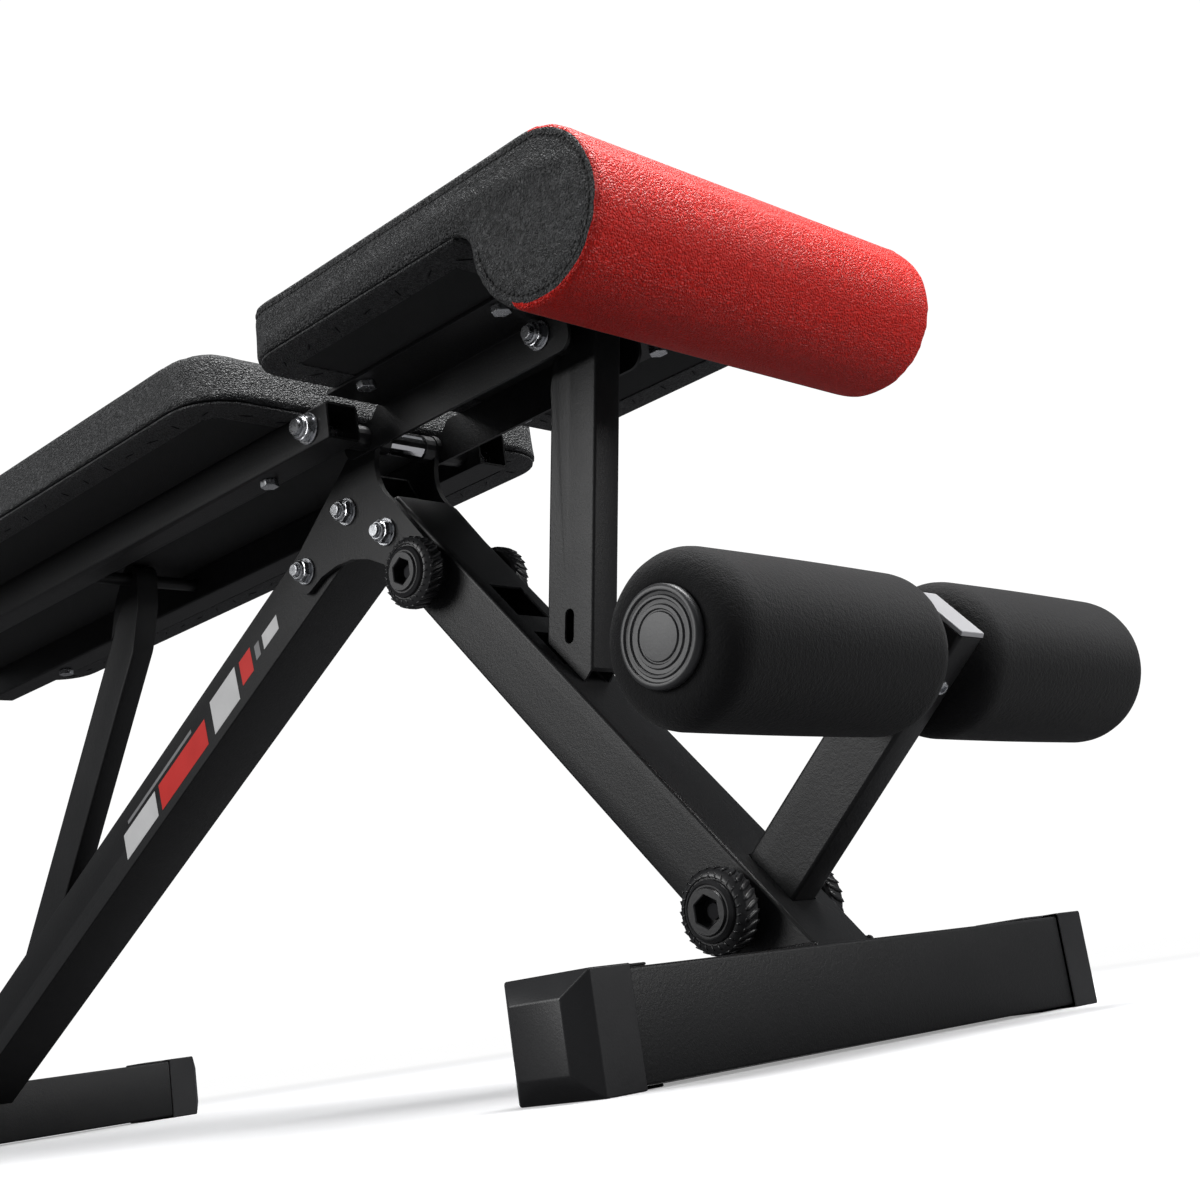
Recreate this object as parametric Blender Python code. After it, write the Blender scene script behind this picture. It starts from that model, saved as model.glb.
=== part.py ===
"""Roman chair: folding sit-up bench with foam ankle rollers, as separate jointed pieces.

Metres, +Z up, +X towards the ankle rollers, origin on the floor under the middle of the bench.
"""

from math import acos, atan2, ceil, cos, hypot, pi, radians, sin, tan

import bmesh
import bpy
from mathutils import Matrix, Vector

# Frame tubes
LEG_WIDTH = 0.056
LEG_DEPTH = 0.0504
LEG_WALL = 0.002
FRONT_LEG_ANGLE = radians(49.7)
REAR_LEG_ANGLE = radians(27.9)
FRONT_LEG_TOE = 0.0218
REAR_LEG_HEEL = 0.0083

# Feet
FOOT_SIZE = 0.060
FOOT_WALL = 0.002
FOOT_HALF_LENGTH = 0.245
FRONT_FOOT_X = 0.5265
REAR_FOOT_X = -0.6135
CAP_WALL = 0.0017
CAP_SLEEVE = 0.030
CAP_NOSE = 0.011
CAP_CHAMFER = 0.013
CAP_TONGUE = 0.025
CAP_TONGUE_WIDTH = 0.040

# Stations along the legs, from where each leg's top face would meet the floor
LADDER_PITCH = 0.0616
WINDOW_LENGTH = 0.040
WINDOW_WIDTH = 0.032
SEAT_WINDOW = 0.3914
SEAT_WINDOWS = 2
SEAT_POST_STATION = 0.370
BACK_WINDOWS = 6
ARM_STATION = 0.1425
LOCK_STATION = 0.522
FOLD_STATION = 0.581
LEG_BOLT_LOW = 0.9558
LEG_BOLT_HIGH = 1.0248
REAR_LEG_END = 0.022
FOLD_GAP = 0.003
FOLD_ANGLE = radians(75)

# Gusset plates
PLATE_THICK = 0.005
PIVOT_LOBE = 0.012
REAR_LOBE = 0.0187
FRONT_LOBE = 0.0205
SHOULDER_REACH = 0.0235
PLATE_SWEEP = 0.027
PLATE_WAIST = 0.0125
PLATE_SHOULDER = 0.010
LOCK_ARC_START = radians(207)
NOTCH_REACH = 0.0533

# Main pivot and the two pad frames
PIVOT_X = 0.1845
PIVOT_Z = 0.506
BACK_RAIL_SIZE = 0.030
BACK_RAIL_WALL = 0.002
BACK_RAIL_FRONT = 0.024
BACK_RAIL_REAR = 0.833
BACK_RAIL_OUTER = 0.092
CROSS_ROD_REACH = 0.400
BACK_BOLT_NEAR = 0.076
BACK_BOLT_FAR = 0.684
SEAT_WEB_INNER = 0.035
SEAT_WEB_THICK = 0.003
SEAT_WEB_HEIGHT = 0.033
SEAT_WEB_REAR = 0.026
SEAT_WEB_FRONT = 0.233
SEAT_WEB_ROUND = 0.012
SEAT_WEB_REAR_TOP = 0.013
SEAT_WEB_STEP_LOW = 0.012
SEAT_WEB_STEP_HIGH = 0.020
SEAT_FLANGE_OUTER = 0.092
SEAT_FLANGE_REAR = 0.027
SEAT_FLANGE_FRONT = 0.229
SEAT_TOP_OVER_PIVOT = 0.021
SEAT_BOLT_Y = 0.081
SEAT_BOLT_NEAR = 0.061
SEAT_BOLT_FAR = 0.213
POST_PIVOT_REACH = 0.204
POST_PIVOT_RISE = 0.0075

# Props
POST_DEPTH = 0.046
POST_WIDTH = 0.026
POST_WALL = 0.002
POST_OFFSET = 0.010
POST_HEAD = 0.009
POST_HEAD_FLAT = 0.018
POST_HEAD_CHAMFER = 0.036
POST_TOE = 0.0195
POST_SLEEVE_RADIUS = 0.010
POST_SLOT_RISE = 0.036
POST_SLOT_LENGTH = 0.016
POST_SLOT_RADIUS = 0.0045
STRUT_DEPTH = 0.0415
STRUT_WIDTH = 0.022
STRUT_WALL = 0.002
STRUT_HEAD = 0.0145
STRUT_SHOULDER = 0.0232
STRUT_TIP_STATION = 0.3667
STRUT_BEND_DROP = 0.062
STRUT_BEND_BACK = 0.023
STRUT_NOSE_TURN = radians(36)

# Pads
PAD_THICK = 0.042
PAD_EDGE = 0.014
BOARD_THICK = 0.012
BOARD_INSET = 0.007
SEAT_HALF_WIDTH = 0.175
SEAT_CORNER = 0.035
SEAT_PAD_REAR = 0.032
ROLL_RADIUS = 0.0575
ROLL_X = 0.5245
SEAT_BOARD_FRONT = 0.272
ROLL_FILLET = 0.012
BACK_HALF_WIDTH = 0.185
BACK_CORNER = 0.045
BACK_PAD_FRONT = 0.006
BACK_PAD_REAR = 0.849

# Ankle rollers and their arm
ARM_DEPTH = 0.044
ARM_WIDTH = 0.024
ARM_WALL = 0.002
ARM_BELOW = 0.008
ARM_RISE = 0.2005
ARM_CAP_THICK = 0.003
ARM_PLUG = 0.012
AXLE_RISE = 0.1648
AXLE_OFFSET = 0.008
AXLE_RADIUS = 0.010
AXLE_HALF_LENGTH = 0.2185
AXLE_WALL = 0.002
ROLLER_RADIUS = 0.0485
ROLLER_INNER_END = 0.017
ROLLER_OUTER_END = 0.2185
ROLLER_ROUND = 0.016
ROLLER_CAP_RADIUS = 0.0275
ROLLER_CAP_THICK = 0.0045
ROLLER_PLUG = 0.018

# Fasteners and knobs
BOLT_RADIUS = 0.005
AXLE_BOLT_RADIUS = 0.006
PAD_BOLT_RADIUS = 0.004
BOLT_HEX = 0.0085
AXLE_HEX = 0.0095
PAD_HEX = 0.0065
NUT_LENGTH = 0.010
HEAD_LENGTH = 0.007
PAD_HEAD_LENGTH = 0.0055
THREAD_SHOW = 0.003
PAD_BOLT_GRIP = 0.009
KNOB_RADIUS = 0.0275
KNOB_COLLAR_RADIUS = 0.019
KNOB_RIM_START = 0.0357
KNOB_RIM = 0.016
KNOB_DOME = 0.0045
KNOB_FACE_RADIUS = 0.017
KNOB_RECESS_HEX = 0.009
KNOB_RECESS = 0.010
SPACER_RADIUS = 0.010
SLEEVE_RADIUS = 0.0095
BUSH_RADIUS = 0.011
BUSH_LENGTH = 0.010

# Small edge treatments
SMALL_CHAMFER = 0.0015
LID_CHAMFER = 0.001
PAD_LOW_EDGE = 0.004

# Clearances
TOUCH = 0.0003
RUNNING = 0.0003
SLIDE_REST = 0.0004
OVERCUT = 0.002

# Facets
FINE = 28
ROUND = 16
SMALL = 10
ARC_STEP = radians(15)
TINY = 0.001


# ---------------------------------------------------------------- scene and materials

def clear_scene():
    """Remove every object that the file holds."""
    for obj in list(bpy.data.objects):
        bpy.data.objects.remove(obj, do_unlink=True)


def make_material(name, color, roughness, metallic=0.0):
    """Plain Principled material."""
    material = bpy.data.materials.new(name)
    material.use_nodes = True
    shader = material.node_tree.nodes["Principled BSDF"]
    shader.inputs["Base Color"].default_value = (*color, 1.0)
    shader.inputs["Roughness"].default_value = roughness
    shader.inputs["Metallic"].default_value = metallic
    return material


def finish(obj, material, smooth_angle=None):
    """Give an object its material, and smooth shading where it is round."""
    obj.data.materials.clear()
    obj.data.materials.append(material)
    if smooth_angle:
        obj.data.shade_smooth()
        obj.data.set_sharp_from_angle(angle=smooth_angle)
    return obj


def make_empty(name, location):
    """Empty that stands on a joint's axis."""
    empty = bpy.data.objects.new(name, None)
    empty.location = location
    empty.empty_display_size = 0.03
    bpy.context.scene.collection.objects.link(empty)
    return empty


def hang_on(parent, *pieces):
    """Parent pieces to an unturned empty without moving them."""
    back = Matrix.Translation(-Vector(parent.location))
    for piece in pieces:
        piece.parent = parent
        piece.matrix_parent_inverse = back


def chain_empty(name, location, parent):
    """Empty on a joint's axis, carried by another joint's empty."""
    empty = make_empty(name, Vector(location))
    hang_on(parent, empty)
    return empty


# ---------------------------------------------------------------- flat outlines in (x, z)

def step(point, angle, along, across=0.0):
    """Point reached from another by going along an angle, then square to its left."""
    x, z = point
    return (x + along * cos(angle) - across * sin(angle),
            z + along * sin(angle) + across * cos(angle))


def angle_to(start, end):
    """Direction from one point to another."""
    return atan2(end[1] - start[1], end[0] - start[0])


def distance(start, end):
    """Length between two points."""
    return hypot(end[0] - start[0], end[1] - start[1])


def arc(centre, radius, start, end):
    """Points on an arc, both ends included, with a fixed angular step."""
    count = max(2, ceil(abs(end - start) / ARC_STEP - TINY))
    angles = [start + (end - start) * i / count for i in range(count + 1)]
    return [step(centre, a, radius) for a in angles]


def hollow_arc(start, end, depth):
    """Inner points of a shallow arc that sags to the left of the chord by depth."""
    chord = distance(start, end)
    heading = angle_to(start, end)
    radius = (chord * chord / 4 + depth * depth) / (2 * depth)
    middle = step(start, heading, chord / 2, depth - radius)
    first = angle_to(middle, start)
    sweep = 2 * atan2(chord / 2, radius - depth)
    return arc(middle, radius, first, first - sweep)[1:-1]


def tangent_heading(start, start_radius, end, end_radius):
    """Heading of the outer tangent that keeps both circles on its right."""
    return angle_to(start, end) + asin_clamped((end_radius - start_radius) / distance(start, end))


def asin_clamped(value):
    """Arc sine that stays real for circles that nearly touch."""
    return pi / 2 - acos(max(-1.0, min(1.0, value)))


def crossing(point, heading, other, other_heading):
    """Where two straight lines meet."""
    turn = sin(other_heading - heading)
    dx = other[0] - point[0]
    dz = other[1] - point[1]
    along = (dx * sin(other_heading) - dz * cos(other_heading)) / turn
    return step(point, heading, along)


# ---------------------------------------------------------------- solids

def mesh_object(name, verts, faces):
    """Closed mesh object with its faces turned outwards."""
    mesh = bpy.data.meshes.new(name)
    mesh.from_pydata(verts, [], faces)
    shape = bmesh.new()
    shape.from_mesh(mesh)
    bmesh.ops.recalc_face_normals(shape, faces=shape.faces)
    shape.to_mesh(mesh)
    shape.free()
    obj = bpy.data.objects.new(name, mesh)
    bpy.context.scene.collection.objects.link(obj)
    return obj


def loft(name, rings):
    """Solid through rings of equal count, closed by a face at each end."""
    count = len(rings[0])
    verts = [point for ring in rings for point in ring]
    faces = [list(range(count)), [len(verts) - 1 - i for i in range(count)]]
    for r in range(len(rings) - 1):
        base = r * count
        for i in range(count):
            j = (i + 1) % count
            faces.append([base + i, base + j, base + count + j, base + count + i])
    return mesh_object(name, verts, faces)


def prism(name, outline, y_low, y_high):
    """Outline in (x, z) carried along Y."""
    return loft(name, [[(x, y, z) for x, z in outline] for y in (y_low, y_high)])


def plan_prism(name, outline, z_low, z_high):
    """Outline in (x, y) carried along Z."""
    return loft(name, [[(x, y, z) for x, y in outline] for z in (z_low, z_high)])


def block(name, low, high):
    """Box between two corners."""
    (x0, y0, z0), (x1, y1, z1) = low, high
    return prism(name, [(x0, z0), (x1, z0), (x1, z1), (x0, z1)], y0, y1)


def turned(name, centre, profile, side=1, facets=ROUND, start=0.0):
    """Solid of revolution about Y.

    profile lists (radius, distance along Y) pairs. It ends on the axis at both
    ends, or it is a closed loop that stays off the axis and leaves a bore.
    """
    cx, cz = centre
    closed = profile[0][0] > 0
    verts = []
    rings = []
    for radius, along in profile:
        y = side * along
        if radius == 0:
            rings.append([len(verts)])
            verts.append((cx, y, cz))
            continue
        rings.append(list(range(len(verts), len(verts) + facets)))
        for i in range(facets):
            a = start + 2 * pi * i / facets
            verts.append((cx + radius * cos(a), y, cz + radius * sin(a)))
    pairs = list(zip(rings, rings[1:]))
    if closed:
        pairs.append((rings[-1], rings[0]))
    faces = []
    for first, second in pairs:
        for i in range(facets):
            j = (i + 1) % facets
            if len(first) == 1:
                faces.append([first[0], second[j], second[i]])
            elif len(second) == 1:
                faces.append([first[i], first[j], second[0]])
            else:
                faces.append([first[i], first[j], second[j], second[i]])
    return mesh_object(name, verts, faces)


def rod(name, centre, radius, y_low, y_high, facets=ROUND):
    """Round bar along Y."""
    profile = [(0, y_low), (radius, y_low), (radius, y_high), (0, y_high)]
    return turned(name, centre, profile, 1, facets)


def ring(name, centre, bore, radius, y_low, y_high, facets=ROUND):
    """Round tube along Y."""
    profile = [(bore, y_low), (radius, y_low), (radius, y_high), (bore, y_high)]
    return turned(name, centre, profile, 1, facets)


def hex_bar(name, centre, across_flats_half, y_low, y_high):
    """Six-sided bar along Y."""
    profile = [(0, y_low), (across_flats_half / cos(pi / 6), y_low),
               (across_flats_half / cos(pi / 6), y_high), (0, y_high)]
    return turned(name, centre, profile, 1, 6)


def upright_rod(name, x, y, radius, z_low, z_high, facets=SMALL):
    """Round or many-sided bar along Z."""
    circle = [(x + radius * cos(2 * pi * i / facets), y + radius * sin(2 * pi * i / facets))
              for i in range(facets)]
    return plan_prism(name, circle, z_low, z_high)


def combine(obj, other, operation, solver="EXACT"):
    """Apply a Boolean with another solid and remove that solid's object."""
    modifier = obj.modifiers.new(operation.lower(), "BOOLEAN")
    modifier.operation = operation
    modifier.solver = solver
    modifier.object = other
    bpy.context.view_layer.update()
    evaluated = obj.evaluated_get(bpy.context.evaluated_depsgraph_get())
    result = bpy.data.meshes.new_from_object(evaluated)
    obj.modifiers.remove(modifier)
    old = obj.data
    obj.data = result
    obj.data.name = obj.name
    bpy.data.meshes.remove(old)
    bpy.data.objects.remove(other, do_unlink=True)
    return obj


def cut(obj, *cutters, solver="EXACT"):
    """Take cutters out of a solid."""
    for cutter in cutters:
        combine(obj, cutter, "DIFFERENCE", solver)
    return obj


def join(obj, *others):
    """Weld overlapping solids into one body."""
    for other in others:
        combine(obj, other, "UNION")
    return obj


def bore(centre, radius, y_low, y_high, facets=ROUND):
    """Cutter for a round hole along Y."""
    low = y_low - OVERCUT
    high = y_high + OVERCUT
    profile = [(0, low), (radius, low), (radius, high), (0, high)]
    return turned("cutter", centre, profile, 1, facets, pi / facets)


# ---------------------------------------------------------------- places worked out once

def layout():
    """Every shared point, in (x, z), worked out from the driving sizes."""
    place = {}
    foot_base = CAP_WALL + TOUCH
    foot_top = foot_base + FOOT_SIZE
    place["foot_base"] = foot_base
    place["foot_top"] = foot_top
    seat_plane = foot_top + TOUCH
    front_root_x = FRONT_FOOT_X + FOOT_SIZE / 2 - FRONT_LEG_TOE
    front_root_x += seat_plane / tan(FRONT_LEG_ANGLE)
    rear_root_x = REAR_FOOT_X - FOOT_SIZE / 2 - REAR_LEG_HEEL
    rear_root_x -= seat_plane / tan(REAR_LEG_ANGLE)
    place["front_root"] = (front_root_x, 0.0)
    place["rear_root"] = (rear_root_x, 0.0)
    place["pivot"] = (PIVOT_X, PIVOT_Z)
    place["cross_rod"] = (PIVOT_X - CROSS_ROD_REACH, PIVOT_Z)
    place["post_pivot"] = (PIVOT_X + POST_PIVOT_REACH, PIVOT_Z + POST_PIVOT_RISE)
    middle = LEG_DEPTH / 2
    place["fold"] = on_front_leg(place, FOLD_STATION, -middle)
    place["lock"] = on_front_leg(place, LOCK_STATION, -middle)
    place["clamp"] = on_front_leg(place, ARM_STATION, -middle)
    place["leg_bolt_low"] = on_rear_leg(place, LEG_BOLT_LOW, -middle)
    place["leg_bolt_high"] = on_rear_leg(place, LEG_BOLT_HIGH, -middle)
    place["roller_axle"] = on_front_leg(place, ARM_STATION + AXLE_OFFSET, AXLE_RISE)
    place["seat_underside"] = PIVOT_Z + SEAT_TOP_OVER_PIVOT + TOUCH
    place["back_underside"] = PIVOT_Z + BACK_RAIL_SIZE / 2 + TOUCH
    return place


def on_front_leg(place, station, height):
    """Point at a station up the front leg, at a height square to its top face."""
    return step(place["front_root"], pi - FRONT_LEG_ANGLE, station, -height)


def on_rear_leg(place, station, height):
    """Point at a station up the rear leg, at a height square to its top face."""
    return step(place["rear_root"], REAR_LEG_ANGLE, station, height)


# ---------------------------------------------------------------- feet

def foot(name, centre_x, place):
    """Square foot tube along Y, open inside its end caps."""
    half = FOOT_SIZE / 2
    low = place["foot_base"]
    tube = block(name, (centre_x - half, -FOOT_HALF_LENGTH, low),
                 (centre_x + half, FOOT_HALF_LENGTH, low + FOOT_SIZE))
    inner = half - FOOT_WALL
    hollow = block("cutter", (centre_x - inner, -FOOT_HALF_LENGTH - OVERCUT, low + FOOT_WALL),
                   (centre_x + inner, FOOT_HALF_LENGTH + OVERCUT, low + FOOT_SIZE - FOOT_WALL))
    return cut(tube, hollow)


def square_ring(centre_x, centre_z, half_x, half_z, y):
    """Four corners of a rectangle that faces along Y."""
    return [(centre_x - half_x, y, centre_z - half_z), (centre_x + half_x, y, centre_z - half_z),
            (centre_x + half_x, y, centre_z + half_z), (centre_x - half_x, y, centre_z + half_z)]


def foot_cap(name, centre_x, place, side):
    """Plastic cap: a sleeve over the tube, tongues on top and below, and a chamfered nose."""
    centre_z = place["foot_base"] + FOOT_SIZE / 2
    outer = FOOT_SIZE / 2 + TOUCH + CAP_WALL
    pocket = FOOT_SIZE / 2 + TOUCH
    sleeve_start = FOOT_HALF_LENGTH + TOUCH + CAP_WALL - CAP_SLEEVE
    shoulder = FOOT_HALF_LENGTH + TOUCH + CAP_WALL
    nose = outer - CAP_CHAMFER
    rings = [square_ring(centre_x, centre_z, outer, outer, side * sleeve_start),
             square_ring(centre_x, centre_z, outer, outer, side * shoulder),
             square_ring(centre_x, centre_z, nose, nose, side * (shoulder + CAP_NOSE))]
    cap = loft(name, rings)
    tongue = loft("tongue", [
        square_ring(centre_x, centre_z, CAP_TONGUE_WIDTH / 2, outer, side * (sleeve_start - CAP_TONGUE)),
        square_ring(centre_x, centre_z, CAP_TONGUE_WIDTH / 2, outer, side * (sleeve_start + OVERCUT))])
    join(cap, tongue)
    pocket_end = FOOT_HALF_LENGTH + TOUCH
    hollow = loft("cutter", [
        square_ring(centre_x, centre_z, pocket, pocket, side * (sleeve_start - CAP_TONGUE - OVERCUT)),
        square_ring(centre_x, centre_z, pocket, pocket, side * pocket_end)])
    return cut(cap, hollow)


# ---------------------------------------------------------------- legs and plates

def leg_hollow(outline_point, start, end):
    """Cutter for the inside of a leg tube, open past both ends."""
    top = -LEG_WALL
    bottom = LEG_WALL - LEG_DEPTH
    outline = [outline_point(start, top), outline_point(end, top),
               outline_point(end, bottom), outline_point(start, bottom)]
    half = LEG_WIDTH / 2 - LEG_WALL
    return prism("cutter", outline, -half, half)


def window(outline_point, station):
    """Cutter for one ladder window in a leg's top wall."""
    low = -LEG_WALL - OVERCUT
    outline = [outline_point(station - WINDOW_LENGTH / 2, low),
               outline_point(station + WINDOW_LENGTH / 2, low),
               outline_point(station + WINDOW_LENGTH / 2, OVERCUT),
               outline_point(station - WINDOW_LENGTH / 2, OVERCUT)]
    return prism("cutter", outline, -WINDOW_WIDTH / 2, WINDOW_WIDTH / 2)


def rear_leg(place):
    """Long rear leg with a ladder of windows for the backrest strut."""
    end = LEG_BOLT_HIGH + REAR_LEG_END
    heel = (REAR_FOOT_X - FOOT_SIZE / 2, place["foot_top"] + TOUCH)
    toe_x = REAR_FOOT_X + FOOT_SIZE / 2 + TOUCH
    under = on_rear_leg(place, 0, -LEG_DEPTH)
    toe = crossing(under, REAR_LEG_ANGLE, (toe_x, 0), pi / 2)
    over_heel = crossing(place["rear_root"], REAR_LEG_ANGLE, heel, pi / 2)
    outline = [heel, (toe_x, heel[1]), toe, on_rear_leg(place, end, -LEG_DEPTH),
               on_rear_leg(place, end, 0), over_heel]
    leg = prism("rear_leg", outline, -LEG_WIDTH / 2, LEG_WIDTH / 2)

    def at(station, height):
        return on_rear_leg(place, station, height)

    cutters = [leg_hollow(at, -LEG_DEPTH, end + OVERCUT)]
    for i in range(BACK_WINDOWS):
        cutters.append(window(at, STRUT_TIP_STATION + i * LADDER_PITCH))
    for key in ("leg_bolt_low", "leg_bolt_high"):
        cutters.append(bore(place[key], BOLT_RADIUS + RUNNING, -LEG_WIDTH / 2, LEG_WIDTH / 2))
    return cut(leg, *cutters)


def fold_clearance(place):
    """Distance from the fold bolt's axis to the rear leg's lower face."""
    fold = place["fold"]
    root = on_rear_leg(place, 0, -LEG_DEPTH)
    along = (fold[0] - root[0]) * sin(REAR_LEG_ANGLE)
    return along - (fold[1] - root[1]) * cos(REAR_LEG_ANGLE)


def front_leg_end(place):
    """Upper end of the front leg: cut beside the rear leg, rounded to swing past it."""
    reach = fold_clearance(place) - FOLD_GAP
    fold = place["fold"]
    facing = REAR_LEG_ANGLE + pi / 2
    contact = step(fold, facing, reach)
    upper = crossing(contact, REAR_LEG_ANGLE, place["front_root"], pi - FRONT_LEG_ANGLE)
    last_facing = facing + FOLD_ANGLE
    last_contact = step(fold, last_facing, reach)
    under = on_front_leg(place, 0, -LEG_DEPTH)
    lower = crossing(last_contact, last_facing - pi / 2, under, pi - FRONT_LEG_ANGLE)
    return [upper] + arc(fold, reach, facing, last_facing) + [lower]


def front_leg(place):
    """Front leg with the seat ladder and the slot that the roller arm passes through."""
    front_x = FRONT_FOOT_X + FOOT_SIZE / 2 - FRONT_LEG_TOE
    seat = place["foot_top"] + TOUCH
    back_x = FRONT_FOOT_X - FOOT_SIZE / 2 - TOUCH
    under = on_front_leg(place, 0, -LEG_DEPTH)
    heel = crossing(under, pi - FRONT_LEG_ANGLE, (back_x, 0), pi / 2)
    outline = [(front_x, seat)] + front_leg_end(place) + [heel, (back_x, seat)]
    leg = prism("front_leg", outline, -LEG_WIDTH / 2, LEG_WIDTH / 2)

    def at(station, height):
        return on_front_leg(place, station, height)

    cutters = [leg_hollow(at, -LEG_DEPTH, FOLD_STATION + LEG_DEPTH)]
    for i in range(SEAT_WINDOWS):
        cutters.append(window(at, SEAT_WINDOW + i * LADDER_PITCH))
    half = ARM_DEPTH / 2 + TOUCH
    below = -LEG_DEPTH - OVERCUT
    slot = [at(ARM_STATION - half, below), at(ARM_STATION + half, below),
            at(ARM_STATION + half, OVERCUT), at(ARM_STATION - half, OVERCUT)]
    cutters.append(prism("cutter", slot, -ARM_WIDTH / 2 - TOUCH, ARM_WIDTH / 2 + TOUCH))
    for key in ("fold", "lock", "clamp"):
        cutters.append(bore(place[key], BOLT_RADIUS + RUNNING, -LEG_WIDTH / 2, LEG_WIDTH / 2))
    return cut(leg, *cutters)


def plate_outline(place):
    """Gusset outline: a lobe round each end joint, straight on top, hollow elsewhere."""
    pivot, rear, lock = place["pivot"], place["leg_bolt_low"], place["lock"]
    down = tangent_heading(pivot, PIVOT_LOBE, rear, REAR_LOBE)
    side = down - pi / 2
    top = arc(pivot, PIVOT_LOBE, 0.0, side % (2 * pi))
    rear_arc = arc(rear, REAR_LOBE, side % (2 * pi), 1.5 * pi)
    leg_side = pi / 2 - FRONT_LEG_ANGLE
    lock_arc = arc(lock, FRONT_LOBE, LOCK_ARC_START, 2 * pi + leg_side)
    shoulder = step(place["fold"], leg_side, SHOULDER_REACH)
    shoulder = step(shoulder, pi - FRONT_LEG_ANGLE, PLATE_SHOULDER)
    between = hollow_arc(rear_arc[-1], lock_arc[0], PLATE_SWEEP)
    waist = hollow_arc(shoulder, top[0], PLATE_WAIST)
    return top + rear_arc + between + lock_arc + [shoulder] + waist


def lock_notch(place):
    """Cutter for the open notch that lets the lock bolt swing out of a plate."""
    fold, lock = place["fold"], place["lock"]
    radius = distance(fold, lock)
    start = angle_to(fold, lock)
    half = BOLT_RADIUS + RUNNING
    sweep = NOTCH_REACH / radius
    outer = arc(fold, radius + half, start, start - sweep)
    inner = arc(fold, radius - half, start - sweep, start)
    round_end = arc(lock, half, start + pi, start)[1:-1]
    return outer + inner + round_end


def gusset_plate(name, place, side):
    """Plate bolted over both legs, with the open notch for the lock bolt."""
    inner = LEG_WIDTH / 2 + TOUCH
    outer = inner + PLATE_THICK
    low, high = sorted((side * inner, side * outer))
    plate = prism(name, plate_outline(place), low, high)
    cutters = [bore(place["pivot"], AXLE_BOLT_RADIUS + RUNNING, low, high)]
    for key in ("leg_bolt_low", "leg_bolt_high", "fold"):
        cutters.append(bore(place[key], BOLT_RADIUS + RUNNING, low, high))
    cutters.append(prism("cutter", lock_notch(place), low - OVERCUT, high + OVERCUT))
    return cut(plate, *cutters)


# ---------------------------------------------------------------- fasteners along Y

def bolt(name, centre, grip, radius, hex_half):
    """Bolt along Y with its head on the right, long enough for a nut on the left."""
    thread_end = grip + 2 * TOUCH + NUT_LENGTH + THREAD_SHOW
    shank = rod(name, centre, radius, -thread_end, grip + TOUCH + OVERCUT)
    head = hex_bar("head", centre, hex_half, grip + TOUCH, grip + TOUCH + HEAD_LENGTH)
    return join(shank, head)


def nut(name, centre, grip, radius, hex_half, side=-1):
    """Hexagon nut with a chamfered outer end."""
    start = grip + TOUCH
    corner = hex_half / cos(pi / 6)
    end = start + NUT_LENGTH
    profile = [(0, start), (corner, start), (corner, end - SMALL_CHAMFER),
               (corner - SMALL_CHAMFER, end), (0, end)]
    body = turned(name, centre, profile, side, 6)
    low, high = sorted((side * start, side * (start + NUT_LENGTH)))
    return cut(body, bore(centre, radius + RUNNING, low, high))


def knob(name, centre, grip, side):
    """Clamping knob: collar, wide rim, domed face and a deep hexagon recess."""
    start = grip + TOUCH
    rim = KNOB_RIM_START
    dome = rim + KNOB_RIM
    face = dome + KNOB_DOME
    hole = BOLT_RADIUS + RUNNING
    profile = [(hole, start), (KNOB_COLLAR_RADIUS, start), (KNOB_COLLAR_RADIUS, rim),
               (KNOB_RADIUS, rim), (KNOB_RADIUS, dome), (KNOB_FACE_RADIUS, face), (hole, face)]
    body = turned(name, centre, profile, side, FINE)
    low, high = sorted((side * (face - KNOB_RECESS), side * (face + OVERCUT)))
    return cut(body, hex_bar("cutter", centre, KNOB_RECESS_HEX, low, high))


def knob_stud(name, centre):
    """Threaded rod that carries a knob at each end."""
    reach = KNOB_RIM_START + KNOB_RIM + KNOB_DOME - KNOB_RECESS + THREAD_SHOW
    return rod(name, centre, BOLT_RADIUS, -reach, reach)


# ---------------------------------------------------------------- pads and boards

def rounded_plan(x_low, x_high, half_width, low_radius, high_radius):
    """Plan outline of a pad with its own corner radius at each end."""
    points = []
    corners = [(x_high, half_width, high_radius, 0.0), (x_low, half_width, low_radius, pi / 2),
               (x_low, -half_width, low_radius, pi), (x_high, -half_width, high_radius, 1.5 * pi)]
    for x, y, radius, start in corners:
        if radius == 0:
            points.append((x, y))
            continue
        centre = (x - radius if x == x_high else x + radius, y - radius if y > 0 else y + radius)
        points.extend(arc(centre, radius, start, start + pi / 2))
    return points


def pad_with_recess(pad, board_outline, underside):
    """Take the board's space out of a pad's underside."""
    recess = plan_prism("cutter", board_outline, underside - OVERCUT, underside + BOARD_THICK + TOUCH)
    return cut(pad, recess)


def board(name, outline, underside, bolts):
    """Plywood board with a blind hole for each pad bolt."""
    body = plan_prism(name, outline, underside, underside + BOARD_THICK)
    for x, y in bolts:
        cut(body, upright_rod("cutter", x, y, PAD_BOLT_RADIUS + RUNNING, underside - OVERCUT,
                              underside + PAD_BOLT_GRIP))
    return body


def pad_bolt(name, x, y, bearing, underside):
    """Hexagon bolt along Z that holds a board down on its rail."""
    shank = upright_rod(name, x, y, PAD_BOLT_RADIUS, bearing - TOUCH - OVERCUT,
                        underside + PAD_BOLT_GRIP - 3 * TOUCH)
    head = upright_rod("head", x, y, PAD_HEX / cos(pi / 6), bearing - TOUCH - PAD_HEAD_LENGTH,
                       bearing - TOUCH, 6)
    return join(shank, head)


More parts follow.
